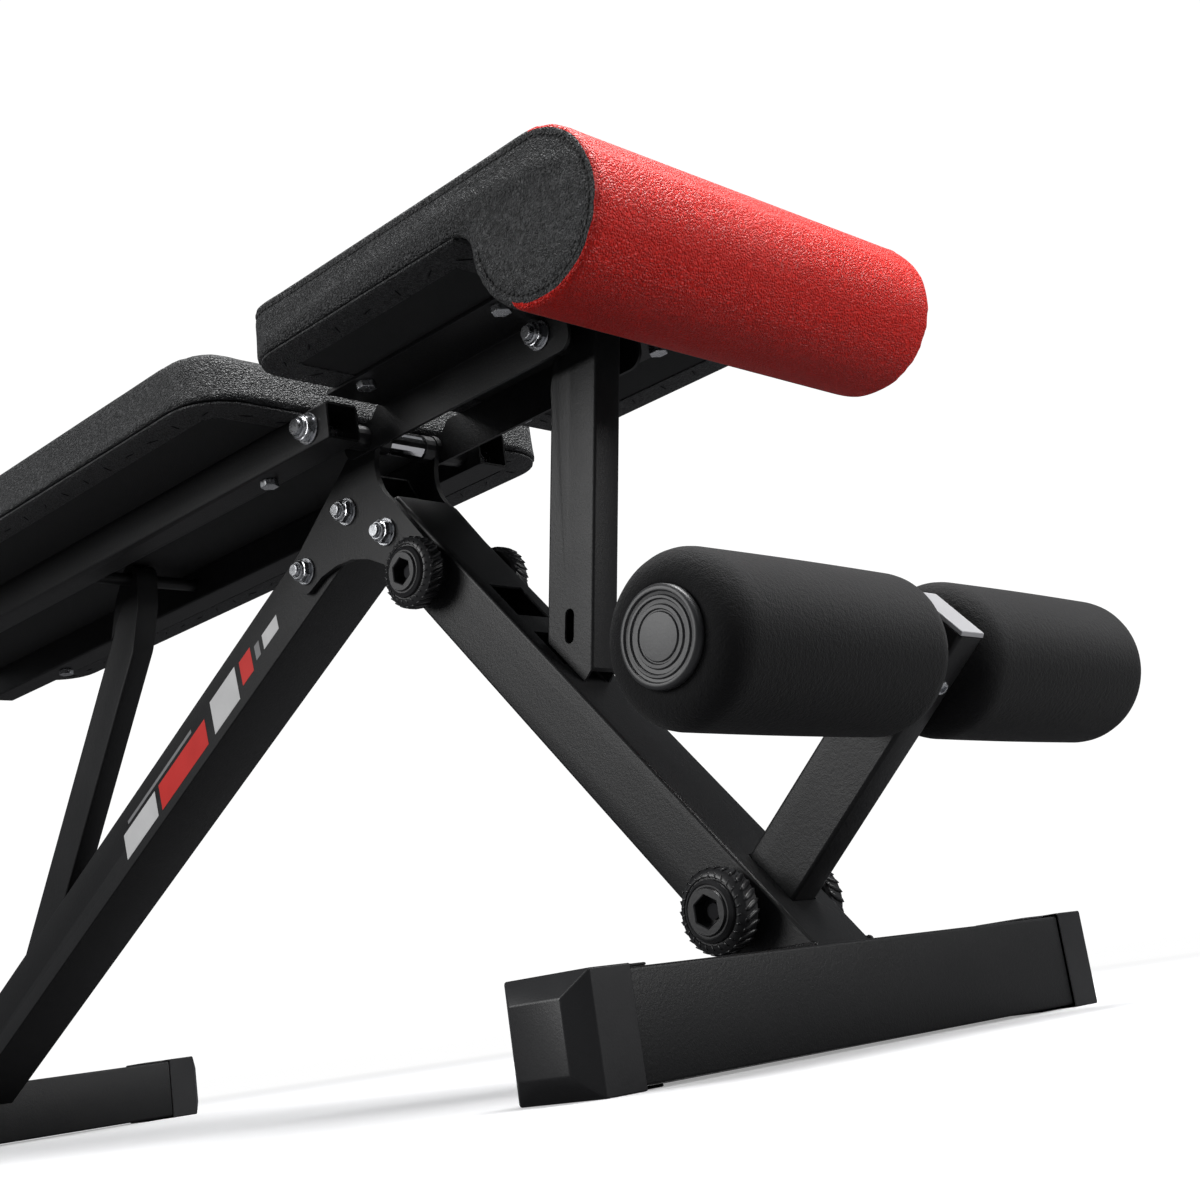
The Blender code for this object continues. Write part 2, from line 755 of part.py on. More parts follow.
def seat_side(place):
    """Side view of the seat pad: flat part behind, round roll in front."""
    low = place["seat_underside"]
    high = low + PAD_THICK
    rear = PIVOT_X + SEAT_PAD_REAR
    roll = (ROLL_X, high - ROLL_RADIUS)
    meet_x = ROLL_X - (ROLL_RADIUS + ROLL_FILLET) * cos_of_meet(low - ROLL_FILLET - roll[1])
    fillet = (meet_x, low - ROLL_FILLET)
    touch = angle_to(roll, fillet)
    points = [(rear, low + PAD_LOW_EDGE), (rear + PAD_LOW_EDGE, low)]
    points += arc(fillet, ROLL_FILLET, pi / 2, touch - pi)
    points += arc(roll, ROLL_RADIUS, touch, 2.5 * pi)[1:]
    points += arc((rear + PAD_EDGE, high - PAD_EDGE), PAD_EDGE, pi / 2, pi)
    return points


def cos_of_meet(rise):
    """Cosine of the angle at which the fillet's centre stands off the roll's centre."""
    sine = rise / (ROLL_RADIUS + ROLL_FILLET)
    return (1 - sine * sine) ** 0.5


def seat_pad_and_board(place, bolts):
    """Seat cushion with its front roll, and the board that lies in its underside."""
    low = place["seat_underside"]
    rear = PIVOT_X + SEAT_PAD_REAR
    pad = prism("seat_pad", seat_side(place), -SEAT_HALF_WIDTH, SEAT_HALF_WIDTH)
    plan = rounded_plan(rear, ROLL_X + 2 * ROLL_RADIUS, SEAT_HALF_WIDTH, SEAT_CORNER, 0)
    trim = plan_prism("cutter", plan, low - 2 * ROLL_RADIUS, low + 2 * ROLL_RADIUS)
    combine(pad, trim, "INTERSECT")
    front = PIVOT_X + SEAT_BOARD_FRONT
    corner = SEAT_CORNER - BOARD_INSET
    outline = rounded_plan(rear + BOARD_INSET, front, SEAT_HALF_WIDTH - BOARD_INSET, corner, 0)
    recess = rounded_plan(rear + BOARD_INSET - TOUCH, front + TOUCH,
                          SEAT_HALF_WIDTH - BOARD_INSET + TOUCH, corner, 0)
    pad_with_recess(pad, recess, low)
    return pad, board("seat_board", outline, low, bolts)


def back_side(place):
    """Side view of the backrest pad with rounded top edges."""
    low = place["back_underside"]
    high = low + PAD_THICK
    front = PIVOT_X - BACK_PAD_FRONT
    rear = PIVOT_X - BACK_PAD_REAR
    points = [(rear, low + PAD_LOW_EDGE), (rear + PAD_LOW_EDGE, low),
              (front - PAD_LOW_EDGE, low), (front, low + PAD_LOW_EDGE)]
    points += arc((front - PAD_EDGE, high - PAD_EDGE), PAD_EDGE, 0.0, pi / 2)
    points += arc((rear + PAD_EDGE, high - PAD_EDGE), PAD_EDGE, pi / 2, pi)
    return points


def back_pad_and_board(place, bolts):
    """Backrest cushion, and the board that lies in its underside."""
    low = place["back_underside"]
    front = PIVOT_X - BACK_PAD_FRONT
    rear = PIVOT_X - BACK_PAD_REAR
    pad = prism("back_pad", back_side(place), -BACK_HALF_WIDTH, BACK_HALF_WIDTH)
    plan = rounded_plan(rear, front, BACK_HALF_WIDTH, BACK_CORNER, BACK_CORNER)
    trim = plan_prism("cutter", plan, low - PAD_THICK, low + 2 * PAD_THICK)
    combine(pad, trim, "INTERSECT")
    corner = BACK_CORNER - BOARD_INSET
    outline = rounded_plan(rear + BOARD_INSET, front - BOARD_INSET,
                           BACK_HALF_WIDTH - BOARD_INSET, corner, corner)
    recess = rounded_plan(rear + BOARD_INSET - TOUCH, front - BOARD_INSET + TOUCH,
                          BACK_HALF_WIDTH - BOARD_INSET + TOUCH, corner, corner)
    pad_with_recess(pad, recess, low)
    return pad, board("back_board", outline, low, bolts)


# ---------------------------------------------------------------- seat frame and post

def seat_rail(name, place, side, bolts):
    """Seat rail: an upright web on the pivots, with a wide flange under the seat board."""
    top = PIVOT_Z + SEAT_TOP_OVER_PIVOT
    low = top - SEAT_WEB_HEIGHT
    x0 = PIVOT_X - SEAT_WEB_REAR
    x1 = PIVOT_X + SEAT_WEB_FRONT
    r = SEAT_WEB_ROUND
    web_outline = arc((x0 + r, low + r), r, pi, 1.5 * pi)
    web_outline += arc((x1 - r, low + r), r, 1.5 * pi, 2 * pi)
    rear_top = PIVOT_Z + SEAT_WEB_REAR_TOP
    web_outline += [(x1, top), (PIVOT_X + SEAT_WEB_STEP_HIGH, top),
                    (PIVOT_X + SEAT_WEB_STEP_LOW, rear_top)]
    web_outline += arc((x0 + r, rear_top - r), r, pi / 2, pi)
    outer = SEAT_WEB_INNER + SEAT_WEB_THICK
    y0, y1 = sorted((side * SEAT_WEB_INNER, side * outer))
    rail = prism(name, web_outline, y0, y1)
    f0, f1 = sorted((side * (SEAT_WEB_INNER + OVERCUT / 2), side * SEAT_FLANGE_OUTER))
    flange = block("flange", (PIVOT_X + SEAT_FLANGE_REAR, f0, top - SEAT_WEB_THICK),
                   (PIVOT_X + SEAT_FLANGE_FRONT, f1, top))
    join(rail, flange)
    cutters = [bore(place["pivot"], AXLE_BOLT_RADIUS + RUNNING, y0, y1),
               bore(place["post_pivot"], BOLT_RADIUS + RUNNING, y0, y1)]
    for x, y in bolts:
        if y * side > 0:
            cutters.append(upright_rod("cutter", x, y, PAD_BOLT_RADIUS + RUNNING,
                                       top - SEAT_WEB_THICK - OVERCUT, top + OVERCUT))
    return cut(rail, *cutters)


def seat_post(place):
    """Seat post: tube with a chamfered head on a cross sleeve, and a foot cut to the leg."""
    head = place["post_pivot"]
    target = on_front_leg(place, SEAT_POST_STATION, 0)
    down = angle_to(head, target) - asin_clamped(POST_OFFSET / distance(head, target))
    half = POST_DEPTH / 2

    def at(along, forward):
        return step(head, down, along, POST_OFFSET + forward)

    slope = pi - FRONT_LEG_ANGLE
    rest = on_front_leg(place, 0, SLIDE_REST)
    heel = crossing(at(0, -half), down, rest, slope)
    toe = on_front_leg(place, SEAT_POST_STATION - POST_TOE, SLIDE_REST)
    toe_top = crossing(at(0, half), down, toe, pi / 2 - FRONT_LEG_ANGLE)
    outline = [at(-POST_HEAD, half), at(-POST_HEAD, -POST_HEAD_FLAT), at(0, -POST_HEAD_FLAT),
               at(POST_HEAD_CHAMFER, -half), heel, toe, toe_top]
    post = prism("seat_post", outline, -POST_WIDTH / 2, POST_WIDTH / 2)
    inner = half - POST_WALL
    reach = distance(head, target) + POST_DEPTH
    hollow = [at(POST_HEAD_CHAMFER, -inner), at(reach, -inner),
              at(reach, inner), at(POST_HEAD_CHAMFER, inner)]
    side = POST_WIDTH / 2 - POST_WALL
    cut(post, prism("cutter", hollow, -side, side))
    reach = SEAT_WEB_INNER - TOUCH
    join(post, rod("sleeve", head, POST_SLEEVE_RADIUS, -reach, reach))
    slot_top = distance(head, target) - POST_SLOT_RISE
    slot = arc(at(slot_top, 0), POST_SLOT_RADIUS, down + 1.5 * pi, down + pi / 2)
    slot += arc(at(slot_top + POST_SLOT_LENGTH, 0), POST_SLOT_RADIUS, down + pi / 2, down - pi / 2)
    cutters = [bore(head, BOLT_RADIUS + RUNNING, -reach, reach),
               prism("cutter", slot, -POST_WIDTH / 2 - OVERCUT, POST_WIDTH / 2 + OVERCUT)]
    return cut(post, *cutters)


# ---------------------------------------------------------------- backrest frame and strut

def back_rail(name, place, side, bolts):
    """Backrest rail: square tube, open at both ends."""
    half = BACK_RAIL_SIZE / 2
    x0 = PIVOT_X - BACK_RAIL_REAR
    x1 = PIVOT_X + BACK_RAIL_FRONT
    y0, y1 = sorted((side * BACK_RAIL_OUTER, side * (BACK_RAIL_OUTER - BACK_RAIL_SIZE)))
    rail = block(name, (x0, y0, PIVOT_Z - half), (x1, y1, PIVOT_Z + half))
    w = BACK_RAIL_WALL
    cutters = [bore(place["pivot"], AXLE_BOLT_RADIUS + RUNNING, y0, y1)]
    inner_face = side * (BACK_RAIL_OUTER - BACK_RAIL_SIZE)
    inner_low, inner_high = sorted((inner_face, inner_face + side * w))
    cutters.append(bore(place["cross_rod"], AXLE_BOLT_RADIUS + RUNNING, inner_low, inner_high))
    for x, y in bolts:
        if y * side > 0:
            cutters.append(upright_rod("cutter", x, y, PAD_BOLT_RADIUS + RUNNING,
                                       PIVOT_Z - half - OVERCUT, PIVOT_Z + half + OVERCUT))
    cutters.append(block("cutter", (x0 - OVERCUT, y0 + w, PIVOT_Z - half + w),
                         (x1 + OVERCUT, y1 - w, PIVOT_Z + half - w)))
    # The exact solver leaves open edges round small bores in these long walls.
    return cut(rail, *cutters, solver="MANIFOLD")


def back_strut(place):
    """Bent strut: round head on the cross rod, two-sided nose that rests on the rear leg."""
    head = place["cross_rod"]
    bend = (head[0] - STRUT_BEND_BACK, head[1] - STRUT_BEND_DROP)
    tip = on_rear_leg(place, STRUT_TIP_STATION, SLIDE_REST)
    upper = angle_to(head, bend)
    lower = angle_to(bend, tip)
    half = STRUT_DEPTH / 2
    front_bend = crossing(step(head, upper, 0, half), upper, step(bend, lower, 0, half), lower)
    rear_bend = crossing(step(head, upper, 0, -half), upper, step(bend, lower, 0, -half), lower)
    front_foot = crossing(step(bend, lower, 0, half), lower, tip, REAR_LEG_ANGLE)
    nose_side = REAR_LEG_ANGLE + pi - STRUT_NOSE_TURN
    rear_foot = crossing(step(bend, lower, 0, -half), lower, tip, nose_side)
    outline = arc(head, STRUT_HEAD, upper + 1.5 * pi, upper + pi / 2)
    outline += [step(head, upper, STRUT_SHOULDER, half), front_bend, front_foot, tip, rear_foot, rear_bend,
                step(head, upper, STRUT_SHOULDER, -half)]
    strut = prism("back_strut", outline, -STRUT_WIDTH / 2, STRUT_WIDTH / 2)
    inner = half - STRUT_WALL
    front_inner = crossing(step(head, upper, 0, inner), upper, step(bend, lower, 0, inner), lower)
    rear_inner = crossing(step(head, upper, 0, -inner), upper, step(bend, lower, 0, -inner), lower)
    reach = distance(bend, tip) + STRUT_DEPTH
    start = STRUT_HEAD + 2 * STRUT_WALL
    hollow = [step(head, upper, start, inner), front_inner, step(bend, lower, reach, inner),
              step(bend, lower, reach, -inner), rear_inner, step(head, upper, start, -inner)]
    side = STRUT_WIDTH / 2 - STRUT_WALL
    cut(strut, prism("cutter", hollow, -side, side))
    return cut(strut, bore(head, AXLE_BOLT_RADIUS + RUNNING, -STRUT_WIDTH / 2, STRUT_WIDTH / 2))


# ---------------------------------------------------------------- roller arm and rollers

def roller_arm(place):
    """Arm tube that stands square to the front leg and passes right through it."""
    half = ARM_DEPTH / 2

    def at(across, rise):
        return on_front_leg(place, ARM_STATION + across, rise)

    low = -LEG_DEPTH - ARM_BELOW
    arm = prism("roller_arm", [at(-half, low), at(half, low), at(half, ARM_RISE), at(-half, ARM_RISE)],
                -ARM_WIDTH / 2, ARM_WIDTH / 2)
    inner = half - ARM_WALL
    side = ARM_WIDTH / 2 - ARM_WALL
    hollow = [at(-inner, low - OVERCUT), at(inner, low - OVERCUT),
              at(inner, ARM_RISE + OVERCUT), at(-inner, ARM_RISE + OVERCUT)]
    cutters = [prism("cutter", hollow, -side, side),
               bore(place["clamp"], BOLT_RADIUS + RUNNING, -ARM_WIDTH / 2, ARM_WIDTH / 2),
               bore(place["roller_axle"], AXLE_RADIUS + TOUCH, -ARM_WIDTH / 2, ARM_WIDTH / 2)]
    return cut(arm, *cutters)


def arm_cap(place):
    """Plug in the arm's upper end."""
    half = ARM_DEPTH / 2

    def at(across, rise):
        return on_front_leg(place, ARM_STATION + across, rise)

    base = ARM_RISE + TOUCH
    top = base + ARM_CAP_THICK
    lid_half = half - LID_CHAMFER
    lid = prism("arm_cap", [at(-half, base), at(half, base), at(lid_half, top), at(-lid_half, top)],
                -ARM_WIDTH / 2, ARM_WIDTH / 2)
    inner = half - ARM_WALL - TOUCH
    side = ARM_WIDTH / 2 - ARM_WALL - TOUCH
    plug = prism("plug", [at(-inner, base - ARM_PLUG), at(inner, base - ARM_PLUG),
                          at(inner, base + OVERCUT / 2), at(-inner, base + OVERCUT / 2)], -side, side)
    return join(lid, plug)


def roller_axle(place):
    """Tube through the arm that carries both rollers."""
    return ring("roller_axle", place["roller_axle"], AXLE_RADIUS - AXLE_WALL, AXLE_RADIUS,
                -AXLE_HALF_LENGTH, AXLE_HALF_LENGTH)


def foam_roller(name, place, side):
    """Foam sleeve with rounded ends."""
    hole = AXLE_RADIUS + RUNNING
    start = ROLLER_INNER_END
    end = ROLLER_OUTER_END
    r = ROLLER_ROUND
    centre_low = start + r
    centre_high = end - r
    shoulder = ROLLER_RADIUS - r
    corner = [0, 1, 2, 3]
    low = [(shoulder + r * sin(a * pi / 6), centre_low - r * cos(a * pi / 6)) for a in corner]
    high = [(shoulder + r * cos(a * pi / 6), centre_high + r * sin(a * pi / 6)) for a in corner]
    profile = [(hole, start)] + low + high + [(hole, end)]
    return turned(name, place["roller_axle"], profile, side, FINE)


def roller_cap(name, place, side):
    """End disc with a plug inside the axle tube."""
    start = ROLLER_OUTER_END + TOUCH
    plug = AXLE_RADIUS - AXLE_WALL - TOUCH
    end = start + ROLLER_CAP_THICK
    profile = [(0, start - ROLLER_PLUG), (plug, start - ROLLER_PLUG), (plug, start),
               (ROLLER_CAP_RADIUS, start), (ROLLER_CAP_RADIUS, end - SMALL_CHAMFER),
               (ROLLER_CAP_RADIUS - SMALL_CHAMFER, end), (0, end)]
    return turned(name, place["roller_axle"], profile, side, FINE)


# ---------------------------------------------------------------- assembly

def main():
    """Build every piece, give it its material and hang it on its joint's empty."""
    clear_scene()
    place = layout()
    powder = make_material("powder_coat", (0.022, 0.022, 0.024), 0.42, 0.3)
    vinyl = make_material("black_vinyl", (0.03, 0.03, 0.032), 0.5)
    plywood = make_material("plywood", (0.35, 0.24, 0.14), 0.75)
    zinc = make_material("zinc", (0.72, 0.73, 0.75), 0.28, 1.0)
    plastic = make_material("black_plastic", (0.018, 0.018, 0.02), 0.38)
    foam = make_material("foam", (0.015, 0.015, 0.016), 0.9)
    round_edge = radians(35)
    sides = (("left", -1), ("right", 1))

    back_empty = make_empty("backrest_axis", (place["pivot"][0], 0, place["pivot"][1]))
    seat_empty = make_empty("seat_axis", (place["pivot"][0], 0, place["pivot"][1]))
    fold_empty = make_empty("fold_axis", (place["fold"][0], 0, place["fold"][1]))
    strut_empty = chain_empty("strut_axis", (place["cross_rod"][0], 0, place["cross_rod"][1]), back_empty)
    post_empty = chain_empty("post_axis", (place["post_pivot"][0], 0, place["post_pivot"][1]), seat_empty)
    axle_x, axle_z = place["roller_axle"]
    roller_empty = chain_empty("roller_axis", (axle_x, 0, axle_z), fold_empty)
    lock_empty = chain_empty("lock_axis", (place["lock"][0], 0, place["lock"][1]), fold_empty)
    clamp_empty = chain_empty("clamp_axis", (place["clamp"][0], 0, place["clamp"][1]), fold_empty)

    # Rear frame
    finish(foot("rear_foot", REAR_FOOT_X, place), powder)
    finish(rear_leg(place), powder)
    leg_grip = LEG_WIDTH / 2 + TOUCH + PLATE_THICK
    for word, side in sides:
        finish(foot_cap(f"rear_foot_cap_{word}", REAR_FOOT_X, place, side), plastic)
        finish(gusset_plate(f"gusset_plate_{word}", place, side), powder)
    for word, key in (("low", "leg_bolt_low"), ("high", "leg_bolt_high"), ("fold", "fold")):
        finish(bolt(f"leg_bolt_{word}", place[key], leg_grip, BOLT_RADIUS, BOLT_HEX), zinc, round_edge)
        finish(nut(f"leg_nut_{word}", place[key], leg_grip, BOLT_RADIUS, BOLT_HEX), zinc, round_edge)

    # Main pivot axle with its nuts, bushes and spacers
    axle_grip = BACK_RAIL_OUTER
    axle_end = axle_grip + 2 * TOUCH + NUT_LENGTH + THREAD_SHOW
    finish(rod("pivot_axle", place["pivot"], AXLE_BOLT_RADIUS, -axle_end, axle_end), zinc, round_edge)
    axle_hole = AXLE_BOLT_RADIUS + RUNNING
    web_outer = SEAT_WEB_INNER + SEAT_WEB_THICK
    for word, side in sides:
        finish(nut(f"pivot_nut_{word}", place["pivot"], axle_grip, AXLE_BOLT_RADIUS, AXLE_HEX, side),
               zinc, round_edge)
        low, high = sorted((side * (LEG_WIDTH / 2), side * (LEG_WIDTH / 2 - BUSH_LENGTH)))
        finish(ring(f"pivot_bush_{word}", place["pivot"], axle_hole, BUSH_RADIUS, low, high),
               plastic, round_edge)
        rail_inner = BACK_RAIL_OUTER - BACK_RAIL_SIZE
        low, high = sorted((side * (web_outer + TOUCH), side * (rail_inner - TOUCH)))
        finish(ring(f"rail_spacer_{word}", place["pivot"], axle_hole, SPACER_RADIUS, low, high),
               plastic, round_edge)

    sleeve_end = LEG_WIDTH / 2 - BUSH_LENGTH - TOUCH
    finish(ring("pivot_sleeve", place["pivot"], axle_hole, SLEEVE_RADIUS, -sleeve_end, sleeve_end),
           zinc, round_edge)

    # Folding front leg with its foot, lock stud and knobs
    front = [finish(foot("front_foot", FRONT_FOOT_X, place), powder), finish(front_leg(place), powder)]
    clamp_grip = LEG_WIDTH / 2
    for word, side in sides:
        front.append(finish(foot_cap(f"front_foot_cap_{word}", FRONT_FOOT_X, place, side), plastic))
        hang_on(lock_empty, finish(knob(f"lock_knob_{word}", place["lock"], leg_grip, side),
                                   plastic, round_edge))
        hang_on(clamp_empty, finish(knob(f"clamp_knob_{word}", place["clamp"], clamp_grip, side),
                                    plastic, round_edge))
    front.append(finish(knob_stud("lock_stud", place["lock"]), zinc, round_edge))
    front.append(finish(knob_stud("clamp_stud", place["clamp"]), zinc, round_edge))
    front.append(finish(roller_arm(place), powder))
    front.append(finish(arm_cap(place), plastic))
    front.append(finish(roller_axle(place), zinc, round_edge))
    for word, side in sides:
        front.append(finish(roller_cap(f"roller_cap_{word}", place, side), plastic, round_edge))
        hang_on(roller_empty, finish(foam_roller(f"foam_roller_{word}", place, side), foam, round_edge))
    hang_on(fold_empty, *front)

    # Seat
    seat_bolts = [(PIVOT_X + x, side * SEAT_BOLT_Y)
                  for _, side in sides for x in (SEAT_BOLT_NEAR, SEAT_BOLT_FAR)]
    pad, seat_board = seat_pad_and_board(place, seat_bolts)
    seat = [finish(pad, vinyl, round_edge), finish(seat_board, plywood)]
    for word, side in sides:
        seat.append(finish(seat_rail(f"seat_rail_{word}", place, side, seat_bolts), powder))
    seat.append(finish(bolt("post_bolt", place["post_pivot"], web_outer, BOLT_RADIUS, BOLT_HEX),
                       zinc, round_edge))
    seat.append(finish(nut("post_nut", place["post_pivot"], web_outer, BOLT_RADIUS, BOLT_HEX),
                       zinc, round_edge))
    seat_bearing = PIVOT_Z + SEAT_TOP_OVER_PIVOT - SEAT_WEB_THICK
    for number, (x, y) in enumerate(seat_bolts, start=1):
        seat.append(finish(pad_bolt(f"seat_bolt_{number}", x, y, seat_bearing, place["seat_underside"]),
                           zinc))
    hang_on(seat_empty, *seat)
    hang_on(post_empty, finish(seat_post(place), powder))

    # Backrest
    rail_y = BACK_RAIL_OUTER - BACK_RAIL_SIZE / 2
    back_bolts = [(PIVOT_X - x, side * rail_y)
                  for _, side in sides for x in (BACK_BOLT_NEAR, BACK_BOLT_FAR)]
    pad, back_board = back_pad_and_board(place, back_bolts)
    back = [finish(pad, vinyl, round_edge), finish(back_board, plywood)]
    for word, side in sides:
        back.append(finish(back_rail(f"back_rail_{word}", place, side, back_bolts), powder))
    rod_end = BACK_RAIL_OUTER - 2 * BACK_RAIL_WALL
    back.append(finish(rod("cross_rod", place["cross_rod"], AXLE_BOLT_RADIUS, -rod_end, rod_end),
                       powder, round_edge))
    back_bearing = PIVOT_Z - BACK_RAIL_SIZE / 2
    for number, (x, y) in enumerate(back_bolts, start=1):
        back.append(finish(pad_bolt(f"back_bolt_{number}", x, y, back_bearing, place["back_underside"]),
                           zinc))
    hang_on(back_empty, *back)
    hang_on(strut_empty, finish(back_strut(place), powder))


main()
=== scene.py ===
"""Roman chair: finished looks for the folding sit-up bench, built round its fixed frame.

Every piece is made in metres where the frame holds it, and rides on the body it is bolted to.
"""

from math import atan2, ceil, cos, pi, radians, sin

import bmesh
import bpy
import numpy as np
from mathutils import Euler, Matrix, Vector
from mathutils.bvhtree import BVHTree


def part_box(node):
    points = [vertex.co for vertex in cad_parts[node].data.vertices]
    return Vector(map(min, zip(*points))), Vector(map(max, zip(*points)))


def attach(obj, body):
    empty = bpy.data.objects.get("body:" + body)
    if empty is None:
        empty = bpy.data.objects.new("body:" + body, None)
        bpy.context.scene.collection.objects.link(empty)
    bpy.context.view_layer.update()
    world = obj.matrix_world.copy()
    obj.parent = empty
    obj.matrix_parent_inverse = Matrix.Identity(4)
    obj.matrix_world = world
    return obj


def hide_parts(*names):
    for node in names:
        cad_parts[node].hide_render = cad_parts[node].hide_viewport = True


bl_info = {
    "name": "Roman chair",
    "version": (1, 0, 0),
    "blender": (4, 5, 0),
    "location": "3D View > Sidebar > Roman chair",
    "description": "Builds the finished looks of a folding roman chair round its frame",
    "category": "Object",
}

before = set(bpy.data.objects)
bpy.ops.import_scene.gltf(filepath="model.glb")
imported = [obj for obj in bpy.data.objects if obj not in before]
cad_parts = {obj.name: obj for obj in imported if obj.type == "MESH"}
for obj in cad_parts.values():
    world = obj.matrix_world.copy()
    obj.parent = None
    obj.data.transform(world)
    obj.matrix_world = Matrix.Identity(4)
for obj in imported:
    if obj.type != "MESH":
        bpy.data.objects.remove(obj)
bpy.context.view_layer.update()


def middle(node):
    """Centre of a frame node."""
    low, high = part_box(node)
    return (low + high) / 2


def heading(start, end):
    """Angle of the line between two points in the (x, z) plane."""
    return atan2(end.z - start.z, end.x - start.x)


# Places that the frame gives
PIVOT = middle("pivot_axle")
AXLE = middle("roller_axle")
LOCK = middle("lock_stud")
CLAMP = middle("clamp_stud")
REAR_TILT = heading(middle("leg_nut_low"), middle("leg_nut_high"))
FRONT_TILT = heading(CLAMP, LOCK)
LEG_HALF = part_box("rear_leg")[1].y
PLATE_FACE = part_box("gusset_plate_right")[1].y
SEAT_LOW, SEAT_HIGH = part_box("seat_pad")
BACK_LOW, BACK_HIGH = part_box("back_pad")
SEAT_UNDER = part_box("seat_board")[0].z
BACK_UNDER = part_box("back_board")[0].z
ROLL_RADIUS = (SEAT_HIGH.z - SEAT_LOW.z) / 2
ROLL = Vector((SEAT_HIGH.x - ROLL_RADIUS, 0, SEAT_HIGH.z - ROLL_RADIUS))
SIDES = (("left", -1), ("right", 1))
PAD_BODY = {"seat": "seat", "back": "backrest"}

# The red strip: where it begins on the panels, ahead of the roll's axis above it and behind it
# below, its distance from the panel's face on the roll and on the top, and its depth there
ROLL_TOP_START = 0.006
ROLL_START = 0.026
STRIP_EDGE = 0.0016
STRIP_BORDER = 0.008
STRIP_SKIN = 0.004
STRIP_DEPTH = 0.0022

# Painted glints: the light and shade on the vinyl's grain cells are painted into its colour as a speckle
VINYL_GLINT_SHADE = 0.95  # change of shade from speckle to speckle
HELD_RIM = 0.006  # height over the board up to which a cover is held
SEAM_STEP = 0.002  # distance between the points of a seam


# ---------------------------------------------------------------- what a user may change

class RomanChairLooks(bpy.types.PropertyGroup):
    """Sizes and colours of the finished roman chair."""

    coat_colour: bpy.props.FloatVectorProperty(
        name="Powder coat", description="Colour of the painted steel", subtype="COLOR",
        default=(0.0105, 0.0106, 0.0112), min=0, max=1)
    vinyl_colour: bpy.props.FloatVectorProperty(
        name="Black vinyl", description="Colour of the pads' black cover", subtype="COLOR",
        default=(0.040, 0.041, 0.042), min=0, max=1)
    wrap_colour: bpy.props.FloatVectorProperty(
        name="Red vinyl", description="Colour of the strip over the seat and its roll", subtype="COLOR",
        default=(0.80, 0.010, 0.003), min=0, max=1)
    foam_colour: bpy.props.FloatVectorProperty(
        name="Foam", description="Colour of the ankle rollers", subtype="COLOR",
        default=(0.0065, 0.0065, 0.007), min=0, max=1)
    plastic_colour: bpy.props.FloatVectorProperty(
        name="Plastic", description="Colour of the knobs and foot caps", subtype="COLOR",
        default=(0.012, 0.012, 0.013), min=0, max=1)
    tube_corner: bpy.props.FloatProperty(
        name="Tube corner", description="Radius along the corners of the square tubes", unit="LENGTH",
        default=0.0024, min=0.0005, max=0.005, precision=4)
    edge_round: bpy.props.FloatProperty(
        name="Edge rounding", description="Rounding of cut edges on plates and tubes", unit="LENGTH",
        default=0.0004, min=0.0001, max=0.001, precision=4)
    grain_cell: bpy.props.FloatProperty(
        name="Grain size", description="Width of one cell of the vinyl's grain", unit="LENGTH",
        default=0.0022, min=0.0005, max=0.005, precision=4)
    pad_swell: bpy.props.FloatProperty(
        name="Pad swell", description="Most that the filling may push a cover out", unit="LENGTH",
        default=0.0014, min=0.0, max=0.006, precision=4)
    border: bpy.props.FloatProperty(
        name="Border", description="Distance from the seat panel's edge to its stitched seam", unit="LENGTH",
        default=0.008, min=0.004, max=0.014, precision=4)
    stitch_pitch: bpy.props.FloatProperty(
        name="Stitch pitch", description="Distance from one stitch to the next", unit="LENGTH",
        default=0.0045, min=0.002, max=0.01, precision=4)
    staple_pitch: bpy.props.FloatProperty(
        name="Staple pitch", description="Distance from one staple to the next under the pads", unit="LENGTH",
        default=0.034, min=0.02, max=0.08, precision=4)
    knob_ribs: bpy.props.IntProperty(
        name="Knob ribs", description="Number of slanted ribs round a knob", default=26, min=8, max=60)


def looks():
    """The sizes and colours that the user set."""
    return bpy.context.scene.roman_chair


# ---------------------------------------------------------------- shader groups

def add(tree, kind, **values):
    """Node of one kind, with its properties set."""
    node = tree.nodes.new(kind)
    for key, value in values.items():
        setattr(node, key, value)
    return node


def maths(tree, operation, first, second=0.0, third=None):
    """Math node fed by sockets or plain numbers; returns its output."""
    node = add(tree, "ShaderNodeMath", operation=operation)
    for index, value in enumerate((first, second, third)):
        if value is None:
            continue
        if isinstance(value, bpy.types.NodeSocket):
            tree.links.new(value, node.inputs[index])
        else:
            node.inputs[index].default_value = value
    return node.outputs[0]


def noise_at(tree, vector, scale, detail=2.0, roughness=0.5):
    """Noise texture read at a vector; returns its factor output."""
    node = add(tree, "ShaderNodeTexNoise")
    tree.links.new(vector, node.inputs["Vector"])
    if isinstance(scale, bpy.types.NodeSocket):
        tree.links.new(scale, node.inputs["Scale"])
    else:
        node.inputs["Scale"].default_value = scale
    node.inputs["Detail"].default_value = detail
    node.inputs["Roughness"].default_value = roughness
    return node.outputs["Fac"]


def shader_group(name, inputs, outputs):
    """Empty shader group with named inputs and outputs."""
    tree = bpy.data.node_groups.new(name, "ShaderNodeTree")
    for label, kind, default in inputs:
        socket = tree.interface.new_socket(label, in_out="INPUT", socket_type=kind)
        if default is not None:
            socket.default_value = default
    for label, kind in outputs:
        tree.interface.new_socket(label, in_out="OUTPUT", socket_type=kind)
    return tree, add(tree, "NodeGroupInput"), add(tree, "NodeGroupOutput")


